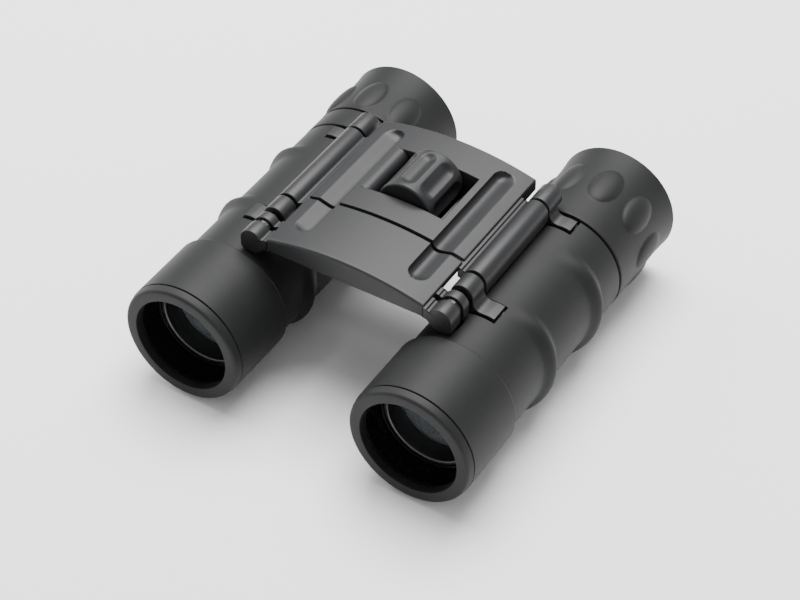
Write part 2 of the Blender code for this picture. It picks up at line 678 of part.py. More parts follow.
def make_prisms(side):
    """A roof prism and a half penta prism in a cage, held down by a spring clip."""
    s = SIDE_SIGN[side]
    x, z = centre_of(side)
    half = 9.2 * MM
    floor = z - 8.6 * MM
    wall_top = z + 7.4 * MM
    front, back = -6 * MM, 21 * MM
    cage = box(f"{side}_prism_cage", (x - half, front, floor), (x + half, back, wall_top), "alloy")
    cut(cage, box(f"{side}_cage_pocket", (x - half + 1.4 * MM, front + 1.6 * MM, floor + 1.4 * MM),
                  (x + half - 1.4 * MM, back - 1.6 * MM, wall_top + 5 * MM)))
    cut(cage, rod(f"{side}_cage_light_hole", (x, front - 5 * MM, z), (x, back + 5 * MM, z),
                  6.2 * MM, steps=20))
    low, high = floor + 1.7 * MM, wall_top - 0.3 * MM
    y0, y1 = front + 1.9 * MM, back - 1.9 * MM
    split = (y0 + y1) / 2
    wide = half - 1.7 * MM
    # The slanted faces meet across a thin air space.
    first = [(y0, low), (split - 3.4 * MM, low), (split + 2.6 * MM, high), (y0, high)]
    second = [(split - 3.0 * MM, low), (y1, low), (y1, high - 3.4 * MM), (y1 - 3.4 * MM, high),
              (split + 3.0 * MM, high)]
    prisms = []
    for name, outline in (("half_penta_prism", first), ("roof_prism", second)):
        prism = extruded(f"{side}_{name}", [outline], (-wide, wide), "glass")
        # Drawn along Y, then turned so that the outline's first axis runs along Y.
        prism.rotation_euler = (math.pi / 2, 0, math.pi / 2)
        prism.location = (x, 0, 0)
        prisms.append(prism)
    clip = box(f"{side}_prism_clip", (x - half, split - 2 * MM, wall_top + 0.1 * MM),
               (x + half, split + 2 * MM, wall_top + 0.6 * MM), "steel")
    return [cage, *prisms, clip]


def make_ocular(side):
    """Cell with field lens, field stop and eye lens."""
    centre = centre_of(side)
    outer = EYE_TUBE_BORE_R - GAP
    groove = outer - 1.3 * MM
    cell = turned(f"{side}_ocular_cell", [
        (9.3 * MM, 25 * MM), (outer, 25 * MM), (outer, 29.6 * MM), (groove, 29.6 * MM),
        (groove, 33.4 * MM), (outer, 33.4 * MM), (outer, 47.2 * MM), (8.1 * MM, 47.2 * MM),
        (8.1 * MM, 46.2 * MM), (9.3 * MM, 46.2 * MM)], centre, "black", 20)
    field = turned(f"{side}_field_lens", [
        (0, 27.2 * MM), (8.9 * MM, 28.4 * MM), (8.9 * MM, 30.6 * MM), (0, 31.8 * MM)],
        centre, "glass", 20)
    stop = turned(f"{side}_field_stop", [
        (6.2 * MM, 34 * MM), (9.0 * MM, 34 * MM), (9.0 * MM, 35 * MM), (6.5 * MM, 35 * MM)],
        centre, "black", 20)
    eye = turned(f"{side}_eye_lens", [
        (0, 40.5 * MM), (8.9 * MM, 41.8 * MM), (8.9 * MM, 45.4 * MM), (7.8 * MM, 45.9 * MM),
        (0, 46.6 * MM)], centre, "glass", 20)
    return [cell, field, stop, eye]


def eyecup_radius(y):
    """The eyecup's outer radius: almost straight, then flaring a little at the rim."""
    t = max((y - FLARE_START_Y) / (BACK_END_Y - FLARE_START_Y), 0)
    return EYECUP_NECK_R + (EYECUP_RIM_R - EYECUP_NECK_R) * t ** 4


def make_eyecup(side):
    """The rubber eyecup, with oval pads round it and a funnel for the eye."""
    s = SIDE_SIGN[side]
    start = EYECUP_START_Y[side]
    stations = [BACK_END_Y - d * MM for d in (0, 1.6, 3.6, 6.6, 11.3, 16.3)] + [FLARE_START_Y]
    outer = [(eyecup_radius(y), y) for y in stations if y > start] + [(eyecup_radius(start), start)]
    inner_r = EYE_TUBE_R + GAP
    funnel = [(inner_r, start), (inner_r, 46.9 * MM), (13.2 * MM, 46.9 * MM), (13.2 * MM, 47.9 * MM),
              (14.9 * MM, 48.6 * MM), (EYECUP_RIM_R - 1 * MM, BACK_END_Y)]
    cup = turned(f"{side}_eyecup", outer + funnel, centre_of(side), "armour")
    for i in range(EYECUP_PADS):
        angle = FIRST_PAD_ANGLE + 2 * math.pi * i / EYECUP_PADS
        join(cup, make_pad(f"{side}_pad_{i}", s, angle))
    return cup


def make_pad(name, s, angle):
    """An oval button half sunk in the eyecup's wall, lying along its slope."""

    def build(shape):
        bmesh.ops.create_uvsphere(shape, u_segments=10, v_segments=6, radius=1)
        bmesh.ops.scale(shape, vec=PAD_SIZE, verts=shape.verts)
        slope = (eyecup_radius(PAD_Y + 4 * MM) - eyecup_radius(PAD_Y - 4 * MM)) / (8 * MM)
        tilt = Matrix.Rotation(math.atan(slope), 4, "X")
        bmesh.ops.transform(shape, matrix=tilt, verts=shape.verts)
        bmesh.ops.translate(shape, vec=(0, PAD_Y, eyecup_radius(PAD_Y) - PAD_SUNK),
                            verts=shape.verts)

    pad = add_object(name, mesh_from(name, build), None)
    pad.location = (s * BARREL_X, 0, BARREL_Z)
    pad.rotation_euler = (0, s * angle, 0)
    return pad


def make_diopter():
    """The right eyepiece's adjusting ring and the pin that drives its ocular cell."""
    inner = EYE_TUBE_R + GAP
    front, back = DIOPTER_Y
    profile = [(inner, front), (16.3 * MM, front), (16.6 * MM, front + 0.3 * MM),
               (16.6 * MM, back - 0.3 * MM), (16.3 * MM, back), (inner, back)]
    ring = turned("diopter_ring", profile, centre_of("right"), "plastic")
    x, z = centre_of("right")
    y = sum(DIOPTER_Y) / 2
    pin_hole = rod("diopter_pin_hole", (x, y, z - 14 * MM), (x, y, z - 16 * MM), 0.8 * MM, steps=10)
    cut(ring, pin_hole)
    pin = rod("diopter_drive_pin", (x, y, z - 12.1 * MM), (x, y, z - 15.7 * MM), 0.5 * MM,
              "steel", steps=10)
    return ring, pin


def cut_diopter_slot(housing):
    """The slot in the eyepiece tube that the drive pin swings in."""
    x, z = centre_of("right")
    y = sum(DIOPTER_Y) / 2
    cut(housing, box("diopter_slot", (x - 12.6 * MM, y - 0.9 * MM, z - 18 * MM),
                     (x + 12.6 * MM, y + 0.9 * MM, z - 5 * MM)))


# Assembly ------------------------------------------------------------------------------------


def build_bridge():
    make_rear_plate()
    make_bottom_cover()
    make_cover_screws()
    make_guide_rods()
    make_hinge_pins()
    slide = axis_empty("front_slide_axis", (0, FRONT_PLATE_Y[1], WHEEL_Z))
    attach(slide, make_front_plate(), make_focus_nut())
    turn = axis_empty("focus_axis", (0, WHEEL_Y[0], WHEEL_Z))
    attach(turn, make_focus_wheel(), make_focus_spindle())


def build_barrel(side):
    s = SIDE_SIGN[side]
    hinge = axis_empty(f"{side}_hinge_axis", (s * HINGE_X, 0, HINGE_Z))
    housing = make_housing(side)
    attach(hinge, housing, make_armour(side), make_objective_bezel(side), *make_prisms(side),
           make_eyecup(side))
    focus = axis_empty(f"{side}_objective_axis", (s * BARREL_X, 0, BARREL_Z))
    attach(focus, *make_objective(side), make_focus_arm(side))
    ocular = axis_empty(f"{side}_ocular_axis", (s * BARREL_X, DIOPTER_Y[0], BARREL_Z))
    attach(ocular, *make_ocular(side))
    if side == "right":
        cut_diopter_slot(housing)
        attach(ocular, *make_diopter())


def shade_round_parts():
    for obj in PARTS.objects:
        if obj.type == "MESH" and obj.data.polygons:
            shaded(obj.data)


def centre_parts():
    """Moves the parts and their cutters so that the origin is halfway between the two ends."""
    for obj in bpy.data.objects:
        if obj.parent is None:
            obj.location.y += CENTRE_MOVE


clear_scene()
PARTS = new_collection("compact_binoculars")
CUTTERS = new_collection("cutters")
CUTTERS.hide_render = True
build_bridge()
for barrel_side in SIDE_SIGN:
    build_barrel(barrel_side)
shade_round_parts()
centre_parts()
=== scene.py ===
"""Visual model of a pair of compact binoculars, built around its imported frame.

Metres. +X is towards the left barrel, +Y runs from the objectives to the eyepieces, +Z is up.
Angles round a barrel are from the top, and positive away from the bridge.
"""

import json
import math

import bmesh
import bpy
import numpy as np
from mathutils import Matrix, Vector


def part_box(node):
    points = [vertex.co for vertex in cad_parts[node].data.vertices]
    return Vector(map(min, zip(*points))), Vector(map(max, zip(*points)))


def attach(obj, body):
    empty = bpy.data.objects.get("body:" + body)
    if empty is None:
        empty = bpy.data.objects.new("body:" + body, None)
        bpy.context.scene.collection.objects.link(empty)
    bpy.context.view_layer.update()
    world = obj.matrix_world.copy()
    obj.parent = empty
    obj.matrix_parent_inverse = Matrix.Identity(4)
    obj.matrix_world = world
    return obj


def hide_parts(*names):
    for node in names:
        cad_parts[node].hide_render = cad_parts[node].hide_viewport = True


bl_info = {
    "name": "Compact Binoculars",
    "version": (1, 0, 0),
    "blender": (4, 5, 0),
    "location": "View3D > Sidebar > Binoculars",
    "description": "Builds the fine surfaces, finishes and studio of compact binoculars",
    "category": "Object",
}

MM = 0.001
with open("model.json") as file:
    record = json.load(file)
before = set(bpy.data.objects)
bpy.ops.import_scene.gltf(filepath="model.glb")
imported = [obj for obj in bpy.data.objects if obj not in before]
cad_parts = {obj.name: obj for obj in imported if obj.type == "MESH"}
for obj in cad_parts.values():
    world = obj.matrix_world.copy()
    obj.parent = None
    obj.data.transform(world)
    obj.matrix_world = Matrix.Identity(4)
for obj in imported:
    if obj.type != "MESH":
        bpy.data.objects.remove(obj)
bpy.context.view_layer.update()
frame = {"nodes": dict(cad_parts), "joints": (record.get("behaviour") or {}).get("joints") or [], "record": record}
JOINTS = {joint["name"]: joint for joint in frame["joints"]}
SIDES = {"left": 1, "right": -1}


def node_box(name):
    """The two corners of a CAD node as arrays."""
    low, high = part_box(name)
    return np.array(low), np.array(high)


# Places taken from the frame ---------------------------------------------------------------

BEZEL_LOW, BEZEL_HIGH = node_box("left_objective_bezel")
BARREL_X, _, BARREL_Z = (BEZEL_LOW + BEZEL_HIGH) / 2
RIM_Y, BEZEL_BACK_Y = BEZEL_LOW[1], BEZEL_HIGH[1]
# The objective rims lie 53 mm in front of the point that distances along Y are drawn from.
DRAWN_FROM_Y = RIM_Y + 53 * MM


def along(distance):
    """A place along Y, from its distance in mm to the point that the shape is drawn from."""
    return distance * MM + DRAWN_FROM_Y


RIM_R = (BEZEL_HIGH[0] - BEZEL_LOW[0]) / 2 - 0.2 * MM
ARMOUR_LOW, ARMOUR_HIGH = node_box("left_armour")
# The fine sleeve reaches further back, which leaves a narrower groove at the eyecup.
ARMOUR_Y = (ARMOUR_LOW[1], ARMOUR_HIGH[1] + 0.5 * MM)
HINGE_X, _, HINGE_Z = JOINTS["left_hinge"]["pos_m"]
WHEEL_Z = JOINTS["focus_turn"]["pos_m"][2]
WHEEL_LOW, WHEEL_HIGH = node_box("focus_wheel")
FRONT_LOW, FRONT_HIGH = node_box("front_plate")
REAR_LOW, REAR_HIGH = node_box("rear_plate")
KNUCKLE_R = FRONT_HIGH[0] - HINGE_X
EYECUP_END_Y = node_box("left_eyecup")[1][1]
DIOPTER_LOW, DIOPTER_HIGH = node_box("diopter_ring")

# Shape of the bridge
ARCH_R = 88 * MM
ARCH_TOP_Z = HINGE_Z + 5.9 * MM
UNDER_Z = HINGE_Z - 0.8 * MM
PANEL_HALF = 23.4 * MM
PANEL_SPLIT_Y = along(-8.1)
FLUTE_X = 17 * MM
FLUTE_HALF = 3 * MM
FLUTE_Y = (along(-22), along(25.5))
WINDOW_Y = (along(0), along(18.5))
WINDOW_TOP_HALF = 12 * MM
WINDOW_LOW_HALF = 9.4 * MM
RAMP_START_X = -12.7 * MM
TUBE_BACK_Y = along(21.2)
ARM_SLOT_Y = (along(-23.6), along(-22.1))
RING_BACK_Y = along(-19.3)
LIP_X = 19 * MM
LIP_THICKNESS = 1.1 * MM
PIN_HOLE_R = 1.75 * MM
CRISP_EDGE = 0.25 * MM
SEAM_EDGE = 0.2 * MM
PANEL_STEP = 0.34 * MM

# Shape of the barrels
HOOD_R = 13.9 * MM
COLLAR_END_Y = along(-30.3)
NECK_R = 16.5 * MM
COLLAR_R = 17.6 * MM
HOUSING_R = 15.2 * MM
HOUSING_BORE_R = 14.0 * MM
EYE_TUBE_R = 14.6 * MM
FOOT_ANGLE = math.radians(11.5)
HEEL_ANGLE = math.radians(-31)
LUG_SPANS = {"front": (along(-17.5), along(-11.8)), "rear": (along(21.9), along(26.1))}
REAR_KNUCKLE_Y = (along(21.9), along(28.8))
HINGE_LEAN = -math.atan2(BARREL_X - HINGE_X, HINGE_Z - BARREL_Z)
RIDGES_Y = (along(-13.9), along(10.8))
RIDGE_TILT = 4.1 * MM
RIDGE_REARMOST = math.radians(52.6)
RIDGE_HIGHEST = math.radians(155)
RIDGE_FRONT = 3.8 * MM
RIDGE_BACK = 3.0 * MM
FIRST_PAD_ANGLE = math.radians(9.5)
PAD_Y = along(43.0)
EYECUP_NECK_R = 16.7 * MM
EYECUP_RIM_R = 17.3 * MM
FLARE_START_Y = along(36)


# Sections, in mm: (radius, distance along Y, reach of the corner's curve)
RETAINER_SECTION = ((11.6, -43.5, 0.45), (12.65, -43.5, 0.1), (12.65, -38.7, 0.1),
                    (10.9, -38.7, 0.1))
OBJECTIVE_CELL_SECTION = ((12.95, -43.7, 0.15), (13.7, -43.7, 0.15), (13.7, -17, 0.1),
                          (11.6, -17, 0.1), (11.6, -33.2, 0.1), (12.95, -33.2, 0.1))
OCULAR_CELL_SECTION = ((9.3, 25, 0.1), (12.9, 25, 0.1), (12.9, 29.6, 0.1), (11.6, 29.6, 0.1),
                       (11.6, 33.4, 0.1), (12.9, 33.4, 0.1), (12.9, 47.2, 0.5),
                       (8.3, 47.0, 0.4), (8.1, 46.2, 0.1), (9.3, 46.2, 0.1))
# The eyecup's funnel, in mm: (radius, distance along Y)
FUNNEL = ((15.9, 53), (15.2, 49.2), (14.6, 48.3), (13.2, 47.85), (13.2, 46.95))
# The step between panel and knuckle, in mm: (distance from the middle, height above the hinge)
SHOULDER = ((22.9, 2.15), (23.95, 2.1), (24.15, 2.05), (24.25, 1.9), (24.3, 1.65),
            (24.45, 1.55), (24.9, 1.5), (25.2, 1.55))


def section(corners):
    """A section's corners as places in metres."""
    return [(radius * MM, along(distance), reach * MM) for radius, distance, reach in corners]


# Mesh helpers -------------------------------------------------------------------------------


def quads(rows, columns, wrap_rows=False, wrap_columns=False, keep=None):
    """Faces of a grid of points, as indices. keep is a mask of the cells that are filled."""
    r = np.arange(rows if wrap_rows else rows - 1)
    c = np.arange(columns if wrap_columns else columns - 1)
    r, c = np.meshgrid(r, c, indexing="ij")
    if keep is not None:
        r, c = r[keep], c[keep]
    down, right = (r + 1) % rows, (c + 1) % columns
    corners = (r * columns + c, r * columns + right, down * columns + right, down * columns + c)
    return np.stack([corner.ravel() for corner in corners], -1)


def softened(value, width):
    """A soft maximum of value and nothing: width times the log of 1 plus the power of e."""
    return width * np.logaddexp(0, value / width)


def rounded(corners, steps=6):
    """A closed outline whose corners (u, v, reach) become quadratic curves. A corner's curve
    starts and ends its reach away from it along both sides."""
    corners = np.asarray(corners, float)
    points, reach = corners[:, :2], corners[:, 2:3]
    before = np.roll(points, 1, 0) - points
    after = np.roll(points, -1, 0) - points
    before /= np.linalg.norm(before, axis=1, keepdims=True)
    after /= np.linalg.norm(after, axis=1, keepdims=True)
    t = np.linspace(0, 1, steps)[None, :, None]
    start, end = (points + before * reach)[:, None], (points + after * reach)[:, None]
    curve = (1 - t) ** 2 * start + 2 * t * (1 - t) * points[:, None] + t ** 2 * end
    flat = curve.reshape(-1, 2)
    return flat[np.linalg.norm(flat - np.roll(flat, 1, 0), axis=1) > 1e-7]


def arc(centre, radius, start, end, count):
    """Points on an arc of (u, v). Angles in degrees, from +u towards +v."""
    a = np.radians(np.linspace(start, end, count))
    return np.stack([centre[0] + radius * np.cos(a), centre[1] + radius * np.sin(a)], -1)


def barrel_point(side, radius, angle, y):
    """Cylinder coordinates round a barrel's axis to a point."""
    s = SIDES[side]
    parts = (s * BARREL_X + s * radius * np.sin(angle), y, BARREL_Z + radius * np.cos(angle))
    return np.stack(np.broadcast_arrays(*parts), -1)


def turned(profile, centre, steps=128, relief=None):
    """A profile of (radius, y) carried round the line along Y through centre = (x, z): x is
    centre plus radius times the sine of the angle, z is centre plus radius times its cosine.
    relief(angle, y, radius) adds to the radius."""
    angle = np.linspace(0, 2 * np.pi, steps, endpoint=False)[None, :]
    radius, y = profile[:, :1], profile[:, 1:]
    if relief:
        radius = radius + relief(angle, y, radius)
    parts = (centre[0] + radius * np.sin(angle), y + 0 * angle, centre[1] + radius * np.cos(angle))
    points = np.stack(np.broadcast_arrays(*parts), -1).reshape(-1, 3)
    return points, quads(len(profile), steps, True, True)


def swept(outline, y_range, bore=None, centre=None, edge=0.3 * MM, blind=False):
    """An outline of (x, z) carried along Y, with its ends rounded by drawing the outline in
    towards centre as a quarter circle of radius edge. A bore is a round hole about centre, so
    each outline point is joined to the bore's point at the same angle. A blind bore stops
    short of the front."""
    outline = np.asarray(outline, float)
    centre = np.mean(outline, 0) if centre is None else np.asarray(centre, float)
    out = outline - centre
    length = np.linalg.norm(out, axis=1, keepdims=True)
    turn = np.radians(np.linspace(90, 0, 5))
    drawn = np.concatenate([edge * (1 - np.cos(turn)), edge * (1 - np.cos(turn[::-1]))])
    y = np.concatenate([y_range[0] + edge * (1 - np.sin(turn)),
                        y_range[1] - edge * (1 - np.sin(turn[::-1]))])
    scale = 1 - drawn[:, None, None] / length[None]
    loops = centre + out[None] * scale
    hole = centre + out / length * (bore or 0)
    front = centre + 0 * out if (blind or not bore) else hole
    back = hole if bore else centre + 0 * out
    floor_y = y_range[0] + (0.9 * MM if blind else 0)
    sections = [front, *loops, back]
    stations = [y_range[0], *y, y_range[1]]
    if bore:
        sections += [hole]
        stations += [floor_y]
    if blind and bore:
        sections += [centre + 0 * out]
        stations += [floor_y]
    rings = [np.insert(section, 1, station, axis=1) for section, station in zip(sections, stations)]
    closed = bool(bore) and not blind
    return np.concatenate(rings), quads(len(rings), len(outline), closed, True)


def slab(top, under, keep):
    """A closed plate between two grids of points with the same layout. keep masks the filled
    cells, and a wall joins the grids round the border and round every hole."""
    rows, columns = top.shape[:2]
    grid = quads(rows, columns, keep=keep)
    count = rows * columns
    padded = np.pad(keep, 1)
    walls = []
    index = np.arange(count).reshape(rows, columns)
    for axis in (0, 1):
        change = np.diff(padded.astype(int), axis=axis)
        r, c = np.nonzero(change[:, 1:-1] if axis == 0 else change[1:-1, :])
        first = index[r, c]
        second = index[r, c + 1] if axis == 0 else index[r + 1, c]
        walls.append(np.stack([first, second, second + count, first + count], -1))
    points = np.concatenate([top.reshape(-1, 3), under.reshape(-1, 3)])
    return points, np.concatenate([grid, grid[:, ::-1] + count, *walls])


def drop_unused(points, faces):
    """Leaves out points that no face uses."""
    used, faces = np.unique(faces, return_inverse=True)
    return points[used], faces.reshape(-1, 4)


def piece(name, shells, body, material, stands_for=(), sharp=40):
    """One object from closed shells of (points, faces), riding on a body."""
    points, faces, start = [], [], 0
    for shell_points, shell_faces in shells:
        shell_points, shell_faces = drop_unused(shell_points, shell_faces)
        points.append(shell_points)
        faces.append(shell_faces + start)
        start += len(shell_points)
    mesh = bpy.data.meshes.new(name)
    mesh.from_pydata(np.concatenate(points).tolist(), [], np.concatenate(faces).tolist())
    work = bmesh.new()
    work.from_mesh(mesh)
    bmesh.ops.remove_doubles(work, verts=work.verts, dist=1e-6)
    bmesh.ops.dissolve_degenerate(work, edges=work.edges, dist=1e-7)
    bmesh.ops.recalc_face_normals(work, faces=work.faces)
    work.to_mesh(mesh)
    work.free()
    mesh.shade_smooth()
    mesh.set_sharp_from_angle(angle=math.radians(sharp))
    mesh.materials.append(material)
    obj = bpy.data.objects.new(name, mesh)
    bpy.context.scene.collection.objects.link(obj)
    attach(obj, body)
    if stands_for:
        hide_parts(*stands_for)
    return obj


# Shader helpers -----------------------------------------------------------------------------


class Value:
    """A shader socket that does arithmetic with Math nodes."""

    def __init__(self, shader, socket):
        self.shader = shader
        self.socket = socket

    def _math(self, operation, first, second):
        return self.shader.node("ShaderNodeMath", {"operation": operation}, {0: first, 1: second})

    def __add__(self, other):
        return self._math("ADD", self, other)

    def __sub__(self, other):
        return self._math("SUBTRACT", self, other)

    def __rsub__(self, other):
        return self._math("SUBTRACT", other, self)

    def __mul__(self, other):
        return self._math("MULTIPLY", self, other)

    __radd__ = __add__
    __rmul__ = __mul__


class Shader:
    def __init__(self, name):
        self.material = bpy.data.materials.new(name)
        self.material.use_nodes = True
        self.tree = self.material.node_tree
        self.main = self.tree.nodes["Principled BSDF"]
        self.place = self.node("ShaderNodeTexCoord", output="Object")

    def feed(self, socket, value):
        if isinstance(value, Value):
            self.tree.links.new(value.socket, socket)
        else:
            socket.default_value = value

    def node(self, kind, settings=None, inputs=None, output=0):
        made = self.tree.nodes.new(kind)
        for key, value in (settings or {}).items():
            setattr(made, key, value)
        for key, value in (inputs or {}).items():
            self.feed(made.inputs[key], value)
        return Value(self, made.outputs[output])

    def noise(self, scale, detail=3.0, roughness=0.55):
        return self.node("ShaderNodeTexNoise", None, {
            "Vector": self.place, "Scale": scale, "Detail": detail, "Roughness": roughness})

    def cells(self, scale):
        return self.node("ShaderNodeTexVoronoi", None, {"Vector": self.place, "Scale": scale},
                         "Distance")

    def mix(self, factor, first, second):
        return self.node("ShaderNodeMix", {"data_type": "RGBA"},
                         {0: factor, 6: first, 7: second}, 2)

    def bump(self, height, strength, distance):
        return self.node("ShaderNodeBump", None, {
            "Height": height, "Strength": strength, "Distance": distance})

    def finish(self, **sockets):
        for name, value in sockets.items():
            self.feed(self.main.inputs[name.replace("_", " ")], value)
        return self.material


def rgba(colour, gain=1.0):
    return (*[min(channel * gain, 1.0) for channel in colour[:3]], 1.0)


def moulded(name, colour, roughness, grain_scale, grain_depth, spread=0.05, shine=0.3):
    """Moulded plastic or rubber: a fine grain in the surface, and slow drifts of tone and
    gloss like handling marks."""
    shader = Shader(name)
    drift = shader.noise(90.0, 2.0)
    grain = shader.cells(grain_scale)
    fine = shader.noise(grain_scale * 1.7, 2.0)
    tone = shader.mix(drift, rgba(colour, 0.86), rgba(colour, 1.14))
    gloss = roughness - spread + drift * (2 * spread) + fine * 0.04
    height = grain * 0.6 + fine * 0.4
    return shader.finish(Base_Color=tone, Roughness=gloss, Specular_IOR_Level=shine,
                         Normal=shader.bump(height, 0.55, grain_depth))


def metal(name, colour, roughness):
    """Turned metal: fine rings are suggested by stretched noise in its gloss."""
    shader = Shader(name)
    stretch = shader.node("ShaderNodeMapping", None,
                          {"Vector": shader.place, "Scale": (300.0, 4000.0, 300.0)})
    streak = shader.node("ShaderNodeTexNoise", None, {"Vector": stretch, "Scale": 1.0})
    return shader.finish(Base_Color=shader.mix(streak, rgba(colour, 0.8), rgba(colour, 1.1)),
                         Roughness=roughness - 0.08 + streak * 0.16, Metallic=1.0)


def lens_glass(name, colour):
    """Coated glass, partly clear: its grey-blue diffuse colour is its tint and also a painted reflection of the
    haze in its coatings. A faint stain drifts in its gloss.
    """
    shader = Shader(name)
    haze = shader.noise(120.0, 2.0)
    # The grey base colour, diffuse beside the partial transmission, paints the reflected haze as well as the
    # glass's tint.
    return shader.finish(Base_Color=rgba(colour), Roughness=0.01 + haze * 0.03,
                         Transmission_Weight=0.72, IOR=1.5, Coat_Weight=0.4)


# Settings -----------------------------------------------------------------------------------


class BinocularShape(bpy.types.PropertyGroup):
    """Sizes that a user may change."""

    flute_depth: bpy.props.FloatProperty(
        name="Flute depth", description="Depth of the long flutes in the bridge",
        default=1.9 * MM, min=0, unit="LENGTH")
    plate_edge: bpy.props.FloatProperty(
        name="Plate edge", description="Radius of the bridge plates' rounded ends",
        default=0.8 * MM, min=0.1 * MM, unit="LENGTH")
    ridge_height: bpy.props.FloatProperty(
        name="Ridge height", description="Height of the finger ridges on the armour",
        default=1.55 * MM, min=0, unit="LENGTH")
    pad_height: bpy.props.FloatProperty(
        name="Pad height", description="Height of the eyecups' oval pads",
        default=1.05 * MM, min=0, unit="LENGTH")
    pad_count: bpy.props.IntProperty(
        name="Pads", description="Number of oval pads round an eyecup", default=9, min=3)
    wheel_lobes: bpy.props.IntProperty(
        name="Wheel lobes", description="Number of lobes on the focus wheel", default=8, min=4)


class BinocularColours(bpy.types.PropertyGroup):
    """Colours that a user may change."""

    armour: bpy.props.FloatVectorProperty(
        name="Armour", description="Rubber of the barrels and eyecups",
        default=(0.0105, 0.0108, 0.0110), size=3, subtype="COLOR", min=0, max=1)
    bridge: bpy.props.FloatVectorProperty(
        name="Bridge", description="Moulded plastic of the bridge",
        default=(0.0125, 0.0128, 0.0138), size=3, subtype="COLOR", min=0, max=1)
    inside: bpy.props.FloatVectorProperty(
        name="Inside", description="Blackened inner parts",
        default=(0.0020, 0.0020, 0.0023), size=3, subtype="COLOR", min=0, max=1)


def shape():
    return bpy.context.scene.binocular_shape


def finishes():
    """The materials, made once, by name."""
    made = bpy.data.materials
    if "armour_rubber_fine" not in made:
        colours = bpy.context.scene.binocular_colours
        moulded("armour_rubber_fine", colours.armour, 0.52, 2600.0, 0.00004, shine=0.22)
        moulded("bridge_plastic_fine", colours.bridge, 0.42, 4200.0, 0.00003, 0.04, 0.36)
        moulded("wheel_rubber_fine", colours.bridge, 0.42, 3600.0, 0.00002, 0.03, 0.3)
        moulded("inner_black_fine", colours.inside, 0.26, 1500.0, 0.00002, 0.04, 0.3)
        metal("steel_fine", (0.045, 0.045, 0.047), 0.34)
        metal("dark_alloy_fine", (0.11, 0.11, 0.112), 0.36)
        metal("brass_fine", (0.62, 0.48, 0.22), 0.32)
        # Lens colour: tint plus painted reflection of the haze in the coatings.
        lens_glass("lens_fine", (0.20, 0.22, 0.24))
    return made


# Bridge -------------------------------------------------------------------------------------


def flute_drop(x, y, depth):
    """Depth of the two long flutes. Across one, from its inner edge at 0 to its outer edge at
    1, it is the sine of pi times the square root of the way across, which is steep inside and
    gentle outside. The width shrinks to nothing along a half circle at both ends."""
    middle = sum(FLUTE_Y) / 2
    straight = (FLUTE_Y[1] - FLUTE_Y[0]) / 2 - FLUTE_HALF
    past_end = np.clip((np.abs(y - middle) - straight) / FLUTE_HALF, 0, 1)
    half = FLUTE_HALF * np.sqrt(1 - past_end ** 2) + 1e-9
    way = np.clip((np.abs(x) - FLUTE_X + half) / (2 * half), 0, 1)
    return depth * np.sin(np.pi * np.sqrt(way)) * (half / FLUTE_HALF) ** 0.7


def round_drop(distance, radius):
    """How far a rounded edge has dropped at a distance in from it: a quarter circle."""
    inside = np.clip(radius - distance, 0, radius)
    return radius - np.sqrt(radius ** 2 - inside ** 2)


def lines(low, high, spacing, marks):
    """Grid lines, closer together beside the marked edges."""
    near = np.array([0, 0.06, 0.16, 0.3, 0.5, 0.8]) * MM
    marks = np.asarray(marks, float)[:, None]
    found = np.concatenate([np.linspace(low, high, int((high - low) / spacing) + 2),
                            (marks + near).ravel(), (marks - near).ravel()])
    found = np.unique(np.round(np.clip(found, low, high), 7))
    keep = np.concatenate([[True], np.diff(found) > 0.02 * MM])
    return found[keep]


